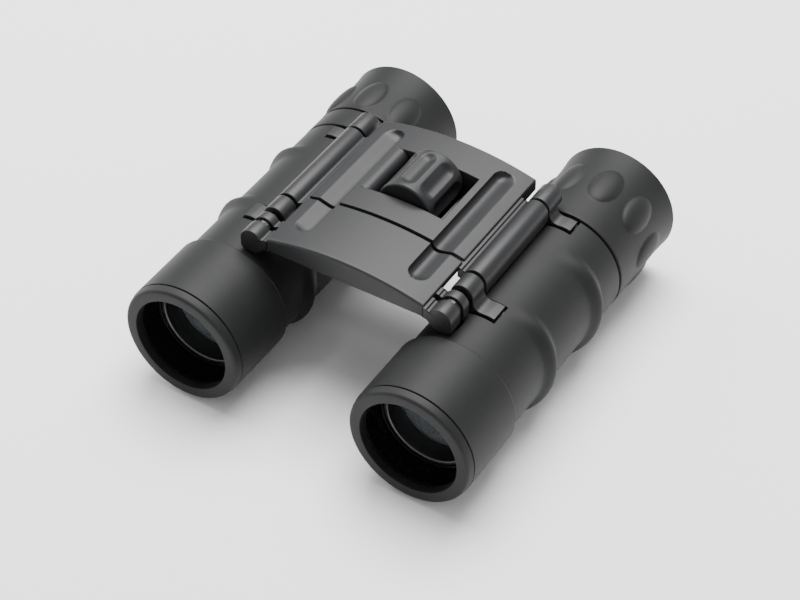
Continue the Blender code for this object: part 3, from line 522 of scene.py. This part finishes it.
def panel(y_range, window=None, round_ends=(CRISP_EDGE, CRISP_EDGE), lip=None):
    """A bridge plate's broad panel: an arch of ARCH_R lowered by the flutes, by the rounded
    edges and by the rim of the window. Towards -X the window starts with a quarter round, and
    towards +X its wall leans in below. A lip is a span of Y where the sides are thin."""
    edges_x = [-PANEL_HALF, PANEL_HALF, FLUTE_HALF - FLUTE_X, FLUTE_X - FLUTE_HALF]
    edges_y = [*y_range, *(window or ()), *(lip or ())]
    if window:
        edges_x += [RAMP_START_X, -WINDOW_LOW_HALF, WINDOW_TOP_HALF]
    if lip:
        edges_x += [-LIP_X, LIP_X]
    x = lines(-PANEL_HALF, PANEL_HALF, PANEL_STEP, edges_x)
    y = lines(*y_range, PANEL_STEP, edges_y)
    gx, gy = np.meshgrid(x, y, indexing="ij")
    z = ARCH_TOP_Z - ARCH_R + np.sqrt(ARCH_R ** 2 - gx ** 2)
    z -= flute_drop(gx, gy, shape().flute_depth)
    z -= round_drop(gy - y_range[0], round_ends[0])
    z -= round_drop(y_range[1] - gy, round_ends[1])
    z -= round_drop(PANEL_HALF - np.abs(gx), 0.3 * MM)
    keep = np.ones((len(x) - 1, len(y) - 1), bool)
    low_x = gx
    if window:
        hair = 0.03 * MM
        beside = (gy > window[0] + hair) & (gy < window[1] - hair)
        radius = -WINDOW_LOW_HALF - RAMP_START_X
        into = np.clip(gx - RAMP_START_X, 0, radius)
        z -= np.where(beside & (gx < 0), radius - np.sqrt(radius ** 2 - into ** 2), 0)
        away_x = np.maximum(np.maximum(gx - WINDOW_TOP_HALF, RAMP_START_X - gx), 0)
        away_y = np.maximum(np.maximum(window[0] - gy, gy - window[1]), 0)
        z -= np.where(beside & (gx < 0), 0, round_drop(np.hypot(away_x, away_y), CRISP_EDGE))
        mid_x, mid_y = (x[1:] + x[:-1]) / 2, (y[1:] + y[:-1]) / 2
        across = ((mid_x > -WINDOW_LOW_HALF) & (mid_x < WINDOW_TOP_HALF))[:, None]
        keep = ~(across & ((mid_y > window[0]) & (mid_y < window[1]))[None])
        share = (gx - WINDOW_TOP_HALF) / (PANEL_HALF - WINDOW_TOP_HALF)
        outer = WINDOW_LOW_HALF + share * (PANEL_HALF - WINDOW_LOW_HALF)
        inner = gx * WINDOW_LOW_HALF / WINDOW_TOP_HALF
        low_x = np.where(gx < 0, gx, np.where(share > 0, outer, inner))
    under_z = np.full_like(gx, UNDER_Z)
    if lip:
        thin = (np.abs(gx) > LIP_X) & (gy > lip[0])
        under_z = np.where(thin, z - LIP_THICKNESS, under_z)
    return slab(np.stack([gx, gy, z], -1), np.stack([low_x, gy, under_z], -1), keep)


def hinge_side(s):
    """Half of the bridge's section outboard of its panel: a small step, a valley and a round
    knuckle with a straight outer side. It returns points of (x, z) for one side."""
    h = (HINGE_X, HINGE_Z)
    low_corner = (HINGE_X + KNUCKLE_R - 1.5 * MM, HINGE_Z - 2.2 * MM)
    shoulder = (0, HINGE_Z) + MM * np.array(SHOULDER)
    under = np.array([(HINGE_X - 1.2 * MM, HINGE_Z - 3.7 * MM),
                      (HINGE_X - 2.9 * MM, HINGE_Z - 2.4 * MM),
                      (PANEL_HALF + 0.8 * MM, HINGE_Z - 1.4 * MM),
                      (PANEL_HALF - 0.5 * MM, HINGE_Z - 1.1 * MM)])
    outline = np.concatenate([shoulder, arc(h, KNUCKLE_R, 146, 0, 26),
                              arc(low_corner, 1.5 * MM, 0, -90, 8)[1:], under])
    return outline * (s, 1)


def knuckle(s, y_range, blind=False):
    return swept(hinge_side(s), y_range, bore=PIN_HOLE_R, centre=(s * HINGE_X, HINGE_Z),
                 edge=CRISP_EDGE, blind=blind)


class BINOCULARS_OT_bridge(bpy.types.Operator):
    """Build the front and rear bridge plates with their flutes, window and hinge tubes"""

    bl_idname = "binoculars.bridge"
    bl_label = "Bridge plates"

    def execute(self, context):
        plastic = finishes()["bridge_plastic_fine"]
        edge = shape().plate_edge
        front = [panel((FRONT_LOW[1], FRONT_HIGH[1]), None, (edge, SEAM_EDGE),
                       (RING_BACK_Y, FRONT_HIGH[1]))]
        rear = [panel((PANEL_SPLIT_Y, REAR_HIGH[1]), WINDOW_Y, (SEAM_EDGE, 0.5 * edge))]
        for s in SIDES.values():
            front.append(knuckle(s, (FRONT_LOW[1], ARM_SLOT_Y[0]), blind=True))
            front.append(knuckle(s, (ARM_SLOT_Y[1], RING_BACK_Y)))
            rear.append(knuckle(s, (REAR_LOW[1], TUBE_BACK_Y)))
        piece("front_plate_fine", front, "front_bridge", plastic,
              ["front_plate"])
        piece("rear_plate_fine", rear, "bridge", plastic, ["rear_plate"])
        return {"FINISHED"}


class BINOCULARS_OT_wheel(bpy.types.Operator):
    """Build the lobed focus wheel"""

    bl_idname = "binoculars.wheel"
    bl_label = "Focus wheel"

    def execute(self, context):
        """The radius falls by a parabola of the distance from each flute's centre line, and
        the flutes close with round ends short of both rims."""
        lobes = shape().wheel_lobes
        radius = WHEEL_HIGH[2] - WHEEL_Z
        low, high = WHEEL_LOW[1], WHEEL_HIGH[1]
        pitch = 2 * np.pi / lobes
        half, depth = 2.35 * MM, 1.15 * MM
        end_gap, edge, skin = 1.7 * MM, 0.7 * MM, 0.9 * MM
        straight = (high - low) / 2 - end_gap - half

        def flutes(angle, y, at_radius):
            turn = (angle + math.radians(5) + pitch / 2) % pitch - pitch / 2
            past = np.maximum(np.abs(y - (low + high) / 2) - straight, 0)
            bowl = depth * (1 - ((radius * turn) ** 2 + past ** 2) / half ** 2)
            outer = at_radius > radius - skin
            return -softened(bowl, 0.05 * MM) * outer

        bore, face_r = 1.8 * MM, radius - 1.5 * MM
        body = np.linspace(low + edge, high - edge, 44)
        side = np.stack([np.full(44, radius), body], -1)
        turn = np.radians(np.linspace(0, 90, 8))
        back = np.stack([radius - edge * (1 - np.cos(turn)),
                         high - edge * (1 - np.sin(turn))], -1)
        front = back[::-1] * (1, -1) + (0, low + high)
        faces = [(face_r, high), (bore, high), (bore, low), (face_r, low)]
        profile = np.concatenate([side, back[1:], faces, front[:-1]])
        wheel = turned(profile, (0, WHEEL_Z), 256, flutes)
        piece("focus_wheel_fine", [wheel], "focus_drive",
              finishes()["wheel_rubber_fine"], ["focus_wheel"])
        return {"FINISHED"}


class BINOCULARS_OT_wheel_well_shade(bpy.types.Operator):
    """Build the near-black tray below the focus wheel, which is painted shade standing in for the shade in its
    well
    """

    bl_idname = "binoculars.wheel_tray"
    bl_label = "Wheel well shade"

    def execute(self, context):
        """A trough round the wheel's axis, closed at both ends by half discs. Its near-black is painted shade."""
        outer_r, inner_r, wall = 9.9 * MM, 8.8 * MM, 0.6 * MM
        front, back = WHEEL_LOW[1] - 0.95 * MM, WHEEL_HIGH[1] + 1.05 * MM
        centre = (0, WHEEL_Z)
        outer = arc(centre, outer_r, -160, -20, 48)
        trough = np.concatenate([outer, arc(centre, inner_r, -20, -160, 48)])
        edge = 0.05 * MM
        # Near-black tray under the wheel: painted shade in the well.
        shade_tray = piece("wheel_tray", [capped(trough, (front, back), edge),
                                    capped(outer, (front, front + wall), edge),
                                    capped(outer, (back - wall, back), edge)],
                     "bridge", finishes()["inner_black_fine"])
        close_ends(shade_tray)
        return {"FINISHED"}


# Barrels ------------------------------------------------------------------------------------


def armour_radius(angle, y, ridge_height):
    """The collar's radius falls to the neck's by a smooth step. Each finger ridge is a tilted
    ring. Its crest's place along Y follows a cosine of the angle, and it adds its height times
    the square of 1 - t squared, with t the distance from the crest over its reach. It grows a
    little towards the underside and is absent by the hinge."""
    t = np.clip((y - COLLAR_END_Y) / (0.9 * MM), 0, 1)
    radius = COLLAR_R + (NECK_R - COLLAR_R) * t * t * (3 - 2 * t)
    middle, half, fade = (math.radians(a) for a in (-23, 37, 42))
    away = np.abs((angle - middle + np.pi) % (2 * np.pi) - np.pi)
    share = np.clip((away - half) / fade, 0, 1)
    share = share * share * (3 - 2 * share) * (1 + 0.23 * np.cos(angle - RIDGE_HIGHEST))
    for middle_y in RIDGES_Y:
        past = y - middle_y - RIDGE_TILT * np.cos(angle - RIDGE_REARMOST)
        t = np.minimum(np.abs(past) / np.where(past > 0, RIDGE_BACK, RIDGE_FRONT), 1)
        radius = radius + share * ridge_height * (1 - t * t) ** 2
    return radius


def armour_shell(side):
    """The sleeve between armour_radius and the housing, with openings for the two lug feet
    and for the focus arm."""
    margin = 0.65 * MM
    turn = margin / NECK_R
    arm_turn = 2.1 * MM / NECK_R
    openings = [(HEEL_ANGLE, FOOT_ANGLE + turn, low - margin, high + margin)
                for low, high in LUG_SPANS.values()]
    openings.append((HINGE_LEAN - arm_turn, HINGE_LEAN + arm_turn, along(-25.3), along(-21.3)))
    start, end = ARMOUR_Y
    # The rear opening runs out at the sleeve's end.
    openings[1] = (*openings[1][:3], end)
    angle = np.concatenate([np.linspace(-np.pi, np.pi, 180, endpoint=False),
                            [a for o in openings for a in o[:2]]])
    angle = np.unique(np.round(angle, 6))
    near_end = np.array([0, 0.1, 0.25, 0.45, 0.7]) * MM
    y = np.concatenate([np.linspace(start, end, 170), [v for o in openings for v in o[2:]],
                        start + near_end, end - near_end,
                        COLLAR_END_Y + np.linspace(0, 0.9, 8) * MM])
    y = np.unique(np.round(y, 7))
    y = y[np.concatenate([[True], np.diff(y) > 0.004 * MM])]
    ga, gy = np.meshgrid(angle, y, indexing="ij")
    outer_r = armour_radius(ga, gy, shape().ridge_height)
    outer_r -= round_drop(gy - start, 0.12 * MM) + round_drop(end - gy, 0.25 * MM)
    outer = barrel_point(side, outer_r, ga, gy)
    inner = barrel_point(side, np.full_like(ga, HOUSING_R + 0.15 * MM), ga, gy)
    # The last row repeats the first, so that the sleeve closes when doubles are merged.
    outer, inner = (np.concatenate([grid, grid[:1]]) for grid in (outer, inner))
    mid_a = (angle + np.append(angle[1:], angle[0] + 2 * np.pi)) / 2
    mid_y = (y[1:] + y[:-1]) / 2
    keep = np.ones((len(mid_a), len(mid_y)), bool)
    for a0, a1, y0, y1 in openings:
        keep &= ~(((mid_a > a0) & (mid_a < a1))[:, None] & ((mid_y > y0) & (mid_y < y1))[None])
    return sleeve(outer, inner, keep)


def sleeve(outer, inner, keep):
    """As slab, but without walls along the seam where the first and last rows meet."""
    rows, columns = outer.shape[:2]
    count = rows * columns
    grid = quads(rows, columns, keep=keep)
    index = np.arange(count).reshape(rows, columns)
    around = np.concatenate([keep[-1:], keep, keep[:1]])
    r, c = np.nonzero(np.diff(around.astype(int), axis=0)[:-1])
    across = np.stack([index[r, c], index[r, c + 1]], -1)
    ends = np.pad(keep, ((0, 0), (1, 1)))
    r, c = np.nonzero(np.diff(ends.astype(int), axis=1))
    endwise = np.stack([index[r, c], index[r + 1, c]], -1)
    rim = np.concatenate([across, endwise])
    walls = np.stack([rim[:, 0], rim[:, 1], rim[:, 1] + count, rim[:, 0] + count], -1)
    points = np.concatenate([outer.reshape(-1, 3), inner.reshape(-1, 3)])
    return points, np.concatenate([grid, grid[:, ::-1] + count, walls])


class BINOCULARS_OT_armour(bpy.types.Operator):
    """Build the rubber sleeves of both barrels"""

    bl_idname = "binoculars.armour"
    bl_label = "Barrel armour"

    def execute(self, context):
        for side in SIDES:
            piece(f"{side}_armour_fine", [armour_shell(side)], f"{side}_barrel",
                  finishes()["armour_rubber_fine"], [f"{side}_armour"])
        return {"FINISHED"}


def lug_arm(side):
    """Section of a lug's arm: an S-shaped outer side from the knuckle to the foot, and a foot
    that follows the barrel. It returns points of (x, z)."""
    s = SIDES[side]
    hinge = np.array([HINGE_X, HINGE_Z])
    barrel = np.array([BARREL_X, BARREL_Z])
    foot_r, root_r = NECK_R + 0.7 * MM, HOUSING_R - 0.4 * MM
    outer_foot = arc(barrel, foot_r, 84, 90 - math.degrees(FOOT_ANGLE), 6)
    start = hinge + (KNUCKLE_R - 0.05 * MM, 0)
    end = outer_foot[0]
    t = np.linspace(0, 1, 16)[:, None]
    pull = (start, start - (0, 4.2 * MM), end + (-1.7 * MM, 0.2 * MM), end)
    sweep = ((1 - t) ** 3 * pull[0] + 3 * t * (1 - t) ** 2 * pull[1]
             + 3 * t * t * (1 - t) * pull[2] + t ** 3 * pull[3])
    root = arc(barrel, root_r, 90 - math.degrees(FOOT_ANGLE), 106, 10)
    heel = arc(hinge, KNUCKLE_R - 0.05 * MM, -115, -140, 4)
    eye = arc(hinge, 2.3 * MM, -140, 0, 12)
    return np.concatenate([sweep[:-1], outer_foot, root, heel, eye]) * (s, 1)


def capped(outline, y_range, edge=0.35 * MM):
    """An outline of (x, z) of any shape carried along Y. Close to each end every point moves
    in along its own normal, by up to half of edge. The ends stay open for close_ends."""
    ahead = np.roll(outline, -1, 0) - np.roll(outline, 1, 0)
    normal = np.stack([ahead[:, 1], -ahead[:, 0]], -1)
    normal /= np.linalg.norm(normal, axis=1, keepdims=True)
    after = np.roll(outline, -1, 0)
    area = np.sum(outline[:, 0] * after[:, 1] - after[:, 0] * outline[:, 1])
    normal *= -np.sign(area)
    turn = np.radians(np.linspace(90, 0, 5))
    drawn = np.concatenate([edge * (1 - np.cos(turn)), edge * (1 - np.cos(turn[::-1]))])
    y = np.concatenate([y_range[0] + edge * (1 - np.sin(turn)),
                        y_range[1] - edge * (1 - np.sin(turn[::-1]))])
    loops = outline[None] + normal[None] * drawn[:, None, None] * 0.5
    points = np.insert(loops.reshape(-1, 2), 1, np.repeat(y, len(outline)), axis=1)
    return points, quads(len(y), len(outline), False, True)


def close_ends(obj):
    """Fills the open ends of a swept outline, whatever its shape."""
    work = bmesh.new()
    work.from_mesh(obj.data)
    bmesh.ops.holes_fill(work, edges=[e for e in work.edges if e.is_boundary])
    for face in work.faces:
        if len(face.verts) > 4:
            for edge in face.edges:
                edge.smooth = False
    big = [face for face in work.faces if len(face.verts) > 4]
    bmesh.ops.triangulate(work, faces=big)
    bmesh.ops.recalc_face_normals(work, faces=work.faces)
    work.to_mesh(obj.data)
    work.free()


class BINOCULARS_OT_housings(bpy.types.Operator):
    """Build the barrel tubes with their hinge lugs"""

    bl_idname = "binoculars.housings"
    bl_label = "Barrel housings"

    def execute(self, context):
        plastic = finishes()["bridge_plastic_fine"]
        inner_black = finishes()["inner_black_fine"]
        shoulder = ARMOUR_Y[1] + 0.1 * MM
        end, step_y = along(46.4), along(24)
        bore = 13.2 * MM
        corners = [(HOUSING_BORE_R, ARMOUR_Y[0], 0.1 * MM), (HOUSING_R, ARMOUR_Y[0], 0.1 * MM),
                   (HOUSING_R, shoulder, 0.2 * MM), (EYE_TUBE_R, shoulder, 0.05 * MM),
                   (EYE_TUBE_R, end, 0.2 * MM), (bore, end, 0.2 * MM),
                   (bore, step_y, 0.1 * MM), (HOUSING_BORE_R, step_y, 0.1 * MM)]
        for side, s in SIDES.items():
            body = f"{side}_barrel"
            tube = turned(rounded(corners, 4), (s * BARREL_X, BARREL_Z))
            piece(f"{side}_barrel_tube", [tube], body, inner_black,
                  [f"{side}_barrel_housing"])
            for place, span in LUG_SPANS.items():
                arm = piece(f"{side}_{place}_lug", [capped(lug_arm(side), span)], body,
                            plastic)
                close_ends(arm)
                ring_span = REAR_KNUCKLE_Y if place == "rear" else span
                ring = swept(arc((s * HINGE_X, HINGE_Z), KNUCKLE_R, 0, 352.5, 48), ring_span,
                             bore=PIN_HOLE_R, centre=(s * HINGE_X, HINGE_Z))
                piece(f"{side}_{place}_knuckle", [ring], body, plastic)
        return {"FINISHED"}


# Optics and ends ----------------------------------------------------------------------------


class BINOCULARS_OT_bezels(bpy.types.Operator):
    """Build the rings at the fronts of both barrels"""

    bl_idname = "binoculars.bezels"
    bl_label = "Objective bezels"

    def execute(self, context):
        """A flat annulus with a rounded outer edge and a small inner one."""
        corners = [(HOOD_R, BEZEL_BACK_Y, 0.1 * MM), (HOOD_R, RIM_Y, 0.25 * MM),
                   (RIM_R, RIM_Y, 0.9 * MM), (COLLAR_R, BEZEL_BACK_Y, 0.12 * MM)]
        for side, s in SIDES.items():
            ring = turned(rounded(corners, 10), (s * BARREL_X, BARREL_Z), 192)
            piece(f"{side}_bezel_fine", [ring], f"{side}_barrel",
                  finishes()["armour_rubber_fine"], [f"{side}_objective_bezel"], sharp=60)
        return {"FINISHED"}


def eyecup_radius(y):
    """Almost straight, then flaring to the rim as the distance to the fourth power."""
    t = np.clip((y - FLARE_START_Y) / (EYECUP_END_Y - FLARE_START_Y), 0, 1)
    return EYECUP_NECK_R + (EYECUP_RIM_R - EYECUP_NECK_R) * t ** 4


class BINOCULARS_OT_eyecups(bpy.types.Operator):
    """Build both eyecups with their oval pads"""

    bl_idname = "binoculars.eyecups"
    bl_label = "Eyecups"

    def execute(self, context):
        """Each pad is a dome. With q as the square of the way across plus the way along to the
        power 2.2, it rises as 1 - q to the power 0.62, softened where it meets the cup."""
        size = shape()
        pitch = 2 * np.pi / size.pad_count
        for side, s in SIDES.items():
            start = node_box(f"{side}_eyecup")[0][1]

            pad_half, pad_long = 4.0 * MM, 6.5 * MM

            def pads(angle, y, at_radius):
                turn = (s * angle - FIRST_PAD_ANGLE + pitch / 2) % pitch - pitch / 2
                q = (at_radius * turn / pad_half) ** 2 + (np.abs(y - PAD_Y) / pad_long) ** 2.2
                dome = size.pad_height * np.sign(1 - q) * np.abs(1 - q) ** 0.62
                outside = at_radius > eyecup_radius(y) - 0.3 * MM
                return softened(dome, 0.06 * MM) * outside

            y = np.linspace(start + 0.4 * MM, EYECUP_END_Y - 0.45 * MM, 110)
            outer = np.stack([eyecup_radius(y), y], -1)
            turn = np.radians(np.linspace(20, 160, 8))
            lip_r = 0.5 * MM
            rim = np.stack([EYECUP_RIM_R - lip_r + lip_r * np.cos(turn),
                            EYECUP_END_Y - lip_r + lip_r * np.sin(turn)], -1)
            bore = EYE_TUBE_R + 0.3 * MM
            funnel = [(r * MM, along(distance)) for r, distance in FUNNEL]
            inside = np.array([(EYECUP_RIM_R - 1.1 * MM, EYECUP_END_Y - 0.8 * MM), *funnel,
                               (bore, along(46.9)), (bore, start)])
            lip = np.array([(EYECUP_NECK_R - 0.4 * MM, start),
                            (EYECUP_NECK_R - 0.1 * MM, start + 0.12 * MM)])
            profile = np.concatenate([outer, rim, inside, lip])
            cup = turned(profile, (s * BARREL_X, BARREL_Z), 288, pads)
            piece(f"{side}_eyecup_fine", [cup], f"{side}_barrel",
                  finishes()["armour_rubber_fine"], [f"{side}_eyecup"])
        return {"FINISHED"}


class BINOCULARS_OT_diopter(bpy.types.Operator):
    """Build the diopter ring on the right eyepiece"""

    bl_idname = "binoculars.diopter"
    bl_label = "Diopter ring"

    def execute(self, context):
        inner = EYE_TUBE_R + 0.3 * MM
        outer = (DIOPTER_HIGH[0] - DIOPTER_LOW[0]) / 2
        front, back = DIOPTER_LOW[1], DIOPTER_HIGH[1]
        corners = [(inner, front, 0.1 * MM), (outer, front, 0.45 * MM),
                   (outer, back, 0.45 * MM), (inner, back, 0.1 * MM)]
        ring = turned(rounded(corners, 6), (-BARREL_X, BARREL_Z), 160)
        piece("diopter_ring_fine", [ring], "diopter",
              finishes()["armour_rubber_fine"], ["diopter_ring"])
        return {"FINISHED"}


class BINOCULARS_OT_objectives(bpy.types.Operator):
    """Build the cells, retainers and front lenses that show inside the hoods"""

    bl_idname = "binoculars.objectives"
    bl_label = "Objectives"

    def execute(self, context):
        """Both faces of a lens are parabolas of the distance from its axis."""
        made = finishes()
        lens_r = 12.7 * MM
        radius = np.linspace(0, lens_r, 24)
        bulge = 1 - (radius / lens_r) ** 2
        front_face = np.stack([radius, along(-38.2) - 1.2 * MM * bulge], -1)
        back_face = np.stack([radius, along(-37.7) + 1.4 * MM * bulge], -1)[::-1]
        crown = np.concatenate([front_face, back_face])
        retainer, cell = section(RETAINER_SECTION), section(OBJECTIVE_CELL_SECTION)
        for side, s in SIDES.items():
            centre, body = (s * BARREL_X, BARREL_Z), f"{side}_objective"
            piece(f"{side}_front_lens", [turned(crown, centre, 128)], body,
                  made["lens_fine"], [f"{side}_objective_crown_lens"], sharp=50)
            piece(f"{side}_retainer_fine", [turned(rounded(retainer), centre)], body,
                  made["dark_alloy_fine"], [f"{side}_objective_retainer"])
            piece(f"{side}_cell_fine", [turned(rounded(cell), centre)], body,
                  made["inner_black_fine"], [f"{side}_objective_cell"])
        return {"FINISHED"}


class BINOCULARS_OT_oculars(bpy.types.Operator):
    """Build the eyepieces' cells and eye lenses, which show inside the eyecups"""

    bl_idname = "binoculars.oculars"
    bl_label = "Oculars"

    def execute(self, context):
        """Both faces of a lens are parabolas of the distance from its axis."""
        made = finishes()
        lens_r = 8.9 * MM
        radius = np.linspace(0, lens_r, 20)
        back = along(46.55) - 1.0 * MM * (radius / lens_r) ** 2
        front = along(40.6) + 1.2 * MM * (radius / lens_r) ** 2
        lens = np.concatenate([np.stack([radius, front], -1),
                               np.stack([radius, back], -1)[::-1]])
        cell = section(OCULAR_CELL_SECTION)
        for side, s in SIDES.items():
            centre = (s * BARREL_X, BARREL_Z)
            body = "right_ocular" if side == "right" else "left_barrel"
            piece(f"{side}_eye_lens_fine", [turned(lens, centre, 96)], body,
                  made["lens_fine"], [f"{side}_eye_lens"], sharp=50)
            piece(f"{side}_ocular_cell_fine", [turned(rounded(cell, 4), centre)], body,
                  made["inner_black_fine"], [f"{side}_ocular_cell"])
        return {"FINISHED"}


class BINOCULARS_OT_hinge_pins(bpy.types.Operator):
    """Build the hinge pins with their low round heads"""

    bl_idname = "binoculars.hinge_pins"
    bl_label = "Hinge pins"

    def execute(self, context):
        for side, s in SIDES.items():
            low, high = node_box(f"{side}_hinge_pin")
            pin, head, neck = 1.5 * MM, 2.5 * MM, high[1] - 0.8 * MM
            corners = [(0, low[1], 0), (pin, low[1], 0.3 * MM), (pin, neck, 0.1 * MM),
                       (head, neck, 0.1 * MM), (head, high[1], 0.5 * MM), (0, high[1], 0)]
            turned_pin = turned(rounded(corners, 5), (s * HINGE_X, HINGE_Z), 64)
            piece(f"{side}_hinge_pin_fine", [turned_pin], "bridge",
                  finishes()["steel_fine"], [f"{side}_hinge_pin"])
        return {"FINISHED"}


class BINOCULARS_OT_finishes(bpy.types.Operator):
    """Give each remaining CAD part its finish"""

    bl_idname = "binoculars.finishes"
    bl_label = "Part finishes"

    def execute(self, context):
        by_slot = {
            "armour_rubber": "armour_rubber_fine", "eyecup_rubber": "armour_rubber_fine",
            "bridge_plastic": "bridge_plastic_fine", "bezel_plastic": "armour_rubber_fine",
            "housing_plastic": "bridge_plastic_fine", "ring_plastic": "armour_rubber_fine",
            "wheel_rubber": "wheel_rubber_fine", "optical_glass": "lens_fine",
            "inner_black": "inner_black_fine", "black_alloy": "dark_alloy_fine",
            "brass": "brass_fine", "steel": "steel_fine",
        }
        made = finishes()
        for entry in frame["record"]["subparts"]:
            mesh = frame["nodes"][entry["node"]].data
            mesh.materials.clear()
            mesh.materials.append(made[by_slot[entry["material_slot"]]])
        return {"FINISHED"}


# Studio -------------------------------------------------------------------------------------

CAMERA_PLACE = Vector((0.23292, along(-380.10), BARREL_Z + 0.40854))
CAMERA_TARGET = Vector((0.01679, along(-28.39), BARREL_Z + 0.02182))
CAMERA_LENS = 102.6
CAMERA_ROLL = math.radians(0.224)
FLOOR_HALF = 3.0
WORLD_STRENGTH = 0.72


def softbox(name, place, target, size, power):
    light = bpy.data.lights.new(name, "AREA")
    light.shape = "RECTANGLE"
    light.size, light.size_y = size
    light.energy = power
    obj = bpy.data.objects.new(name, light)
    obj.location = place
    obj.rotation_euler = (Vector(target) - Vector(place)).to_track_quat("-Z", "Y").to_euler()
    bpy.context.scene.collection.objects.link(obj)


class BINOCULARS_OT_studio(bpy.types.Operator):
    """Build the pale floor, the soft lights and the camera"""

    bl_idname = "binoculars.studio"
    bl_label = "Studio"

    def execute(self, context):
        scene = context.scene
        mesh = bpy.data.meshes.new("floor")
        half = FLOOR_HALF
        mesh.from_pydata([(-half, -half, 0), (half, -half, 0), (half, half, 0), (-half, half, 0)],
                         [], [(0, 1, 2, 3)])
        floor = bpy.data.objects.new("floor", mesh)
        scene.collection.objects.link(floor)
        shader = Shader("floor_pale")
        tone = shader.mix(shader.noise(3.0), (0.90, 0.90, 0.90, 1), (0.93, 0.93, 0.93, 1))
        mesh.materials.append(shader.finish(Base_Color=tone, Roughness=0.8))
        world = bpy.data.worlds.new("studio")
        world.use_nodes = True
        world.node_tree.nodes["Background"].inputs["Color"].default_value = (1, 1, 1, 1)
        world.node_tree.nodes["Background"].inputs["Strength"].default_value = WORLD_STRENGTH
        scene.world = world
        middle = (0, 0, 0.03)
        softbox("top_light", (-0.10, 0.25, 0.80), middle, (0.7, 0.7), 20.0)
        softbox("side_light", (-0.65, 0.05, 0.35), middle, (0.25, 0.6), 2.5)
        camera = bpy.data.objects.new("camera", bpy.data.cameras.new("camera"))
        camera.data.sensor_width = 36.0
        camera.data.lens = CAMERA_LENS
        camera.data.clip_start, camera.data.clip_end = 0.01, 20.0
        aim = (CAMERA_TARGET - CAMERA_PLACE).to_track_quat("-Z", "Y").to_matrix().to_4x4()
        roll = Matrix.Rotation(CAMERA_ROLL, 4, "Z")
        camera.matrix_world = Matrix.Translation(CAMERA_PLACE) @ aim @ roll
        scene.collection.objects.link(camera)
        scene.camera = camera
        return {"FINISHED"}


# Panel and registration ---------------------------------------------------------------------

PIECES = (BINOCULARS_OT_finishes, BINOCULARS_OT_bridge, BINOCULARS_OT_wheel,
          BINOCULARS_OT_wheel_well_shade,
          BINOCULARS_OT_armour, BINOCULARS_OT_housings, BINOCULARS_OT_bezels,
          BINOCULARS_OT_eyecups, BINOCULARS_OT_diopter, BINOCULARS_OT_objectives,
          BINOCULARS_OT_oculars, BINOCULARS_OT_hinge_pins, BINOCULARS_OT_studio)


class BINOCULARS_PT_panel(bpy.types.Panel):
    """Lists the pieces and their settings"""

    bl_idname = "BINOCULARS_PT_panel"
    bl_label = "Compact Binoculars"
    bl_space_type = "VIEW_3D"
    bl_region_type = "UI"
    bl_category = "Binoculars"

    def draw(self, context):
        for group in (context.scene.binocular_shape, context.scene.binocular_colours):
            for name in group.bl_rna.properties.keys():
                if name not in ("rna_type", "name"):
                    self.layout.prop(group, name)
        for operator in PIECES:
            self.layout.operator(operator.bl_idname)


CLASSES = (BinocularShape, BinocularColours, *PIECES, BINOCULARS_PT_panel)


def register():
    for cls in CLASSES:
        bpy.utils.register_class(cls)
    bpy.types.Scene.binocular_shape = bpy.props.PointerProperty(type=BinocularShape)
    bpy.types.Scene.binocular_colours = bpy.props.PointerProperty(type=BinocularColours)


def unregister():
    del bpy.types.Scene.binocular_colours
    del bpy.types.Scene.binocular_shape
    for cls in reversed(CLASSES):
        bpy.utils.unregister_class(cls)


def main():
    register()
    for operator in PIECES:
        module, name = operator.bl_idname.split(".")
        getattr(getattr(bpy.ops, module), name)()
    bpy.context.view_layer.update()


if __name__ == "__main__":
    main()
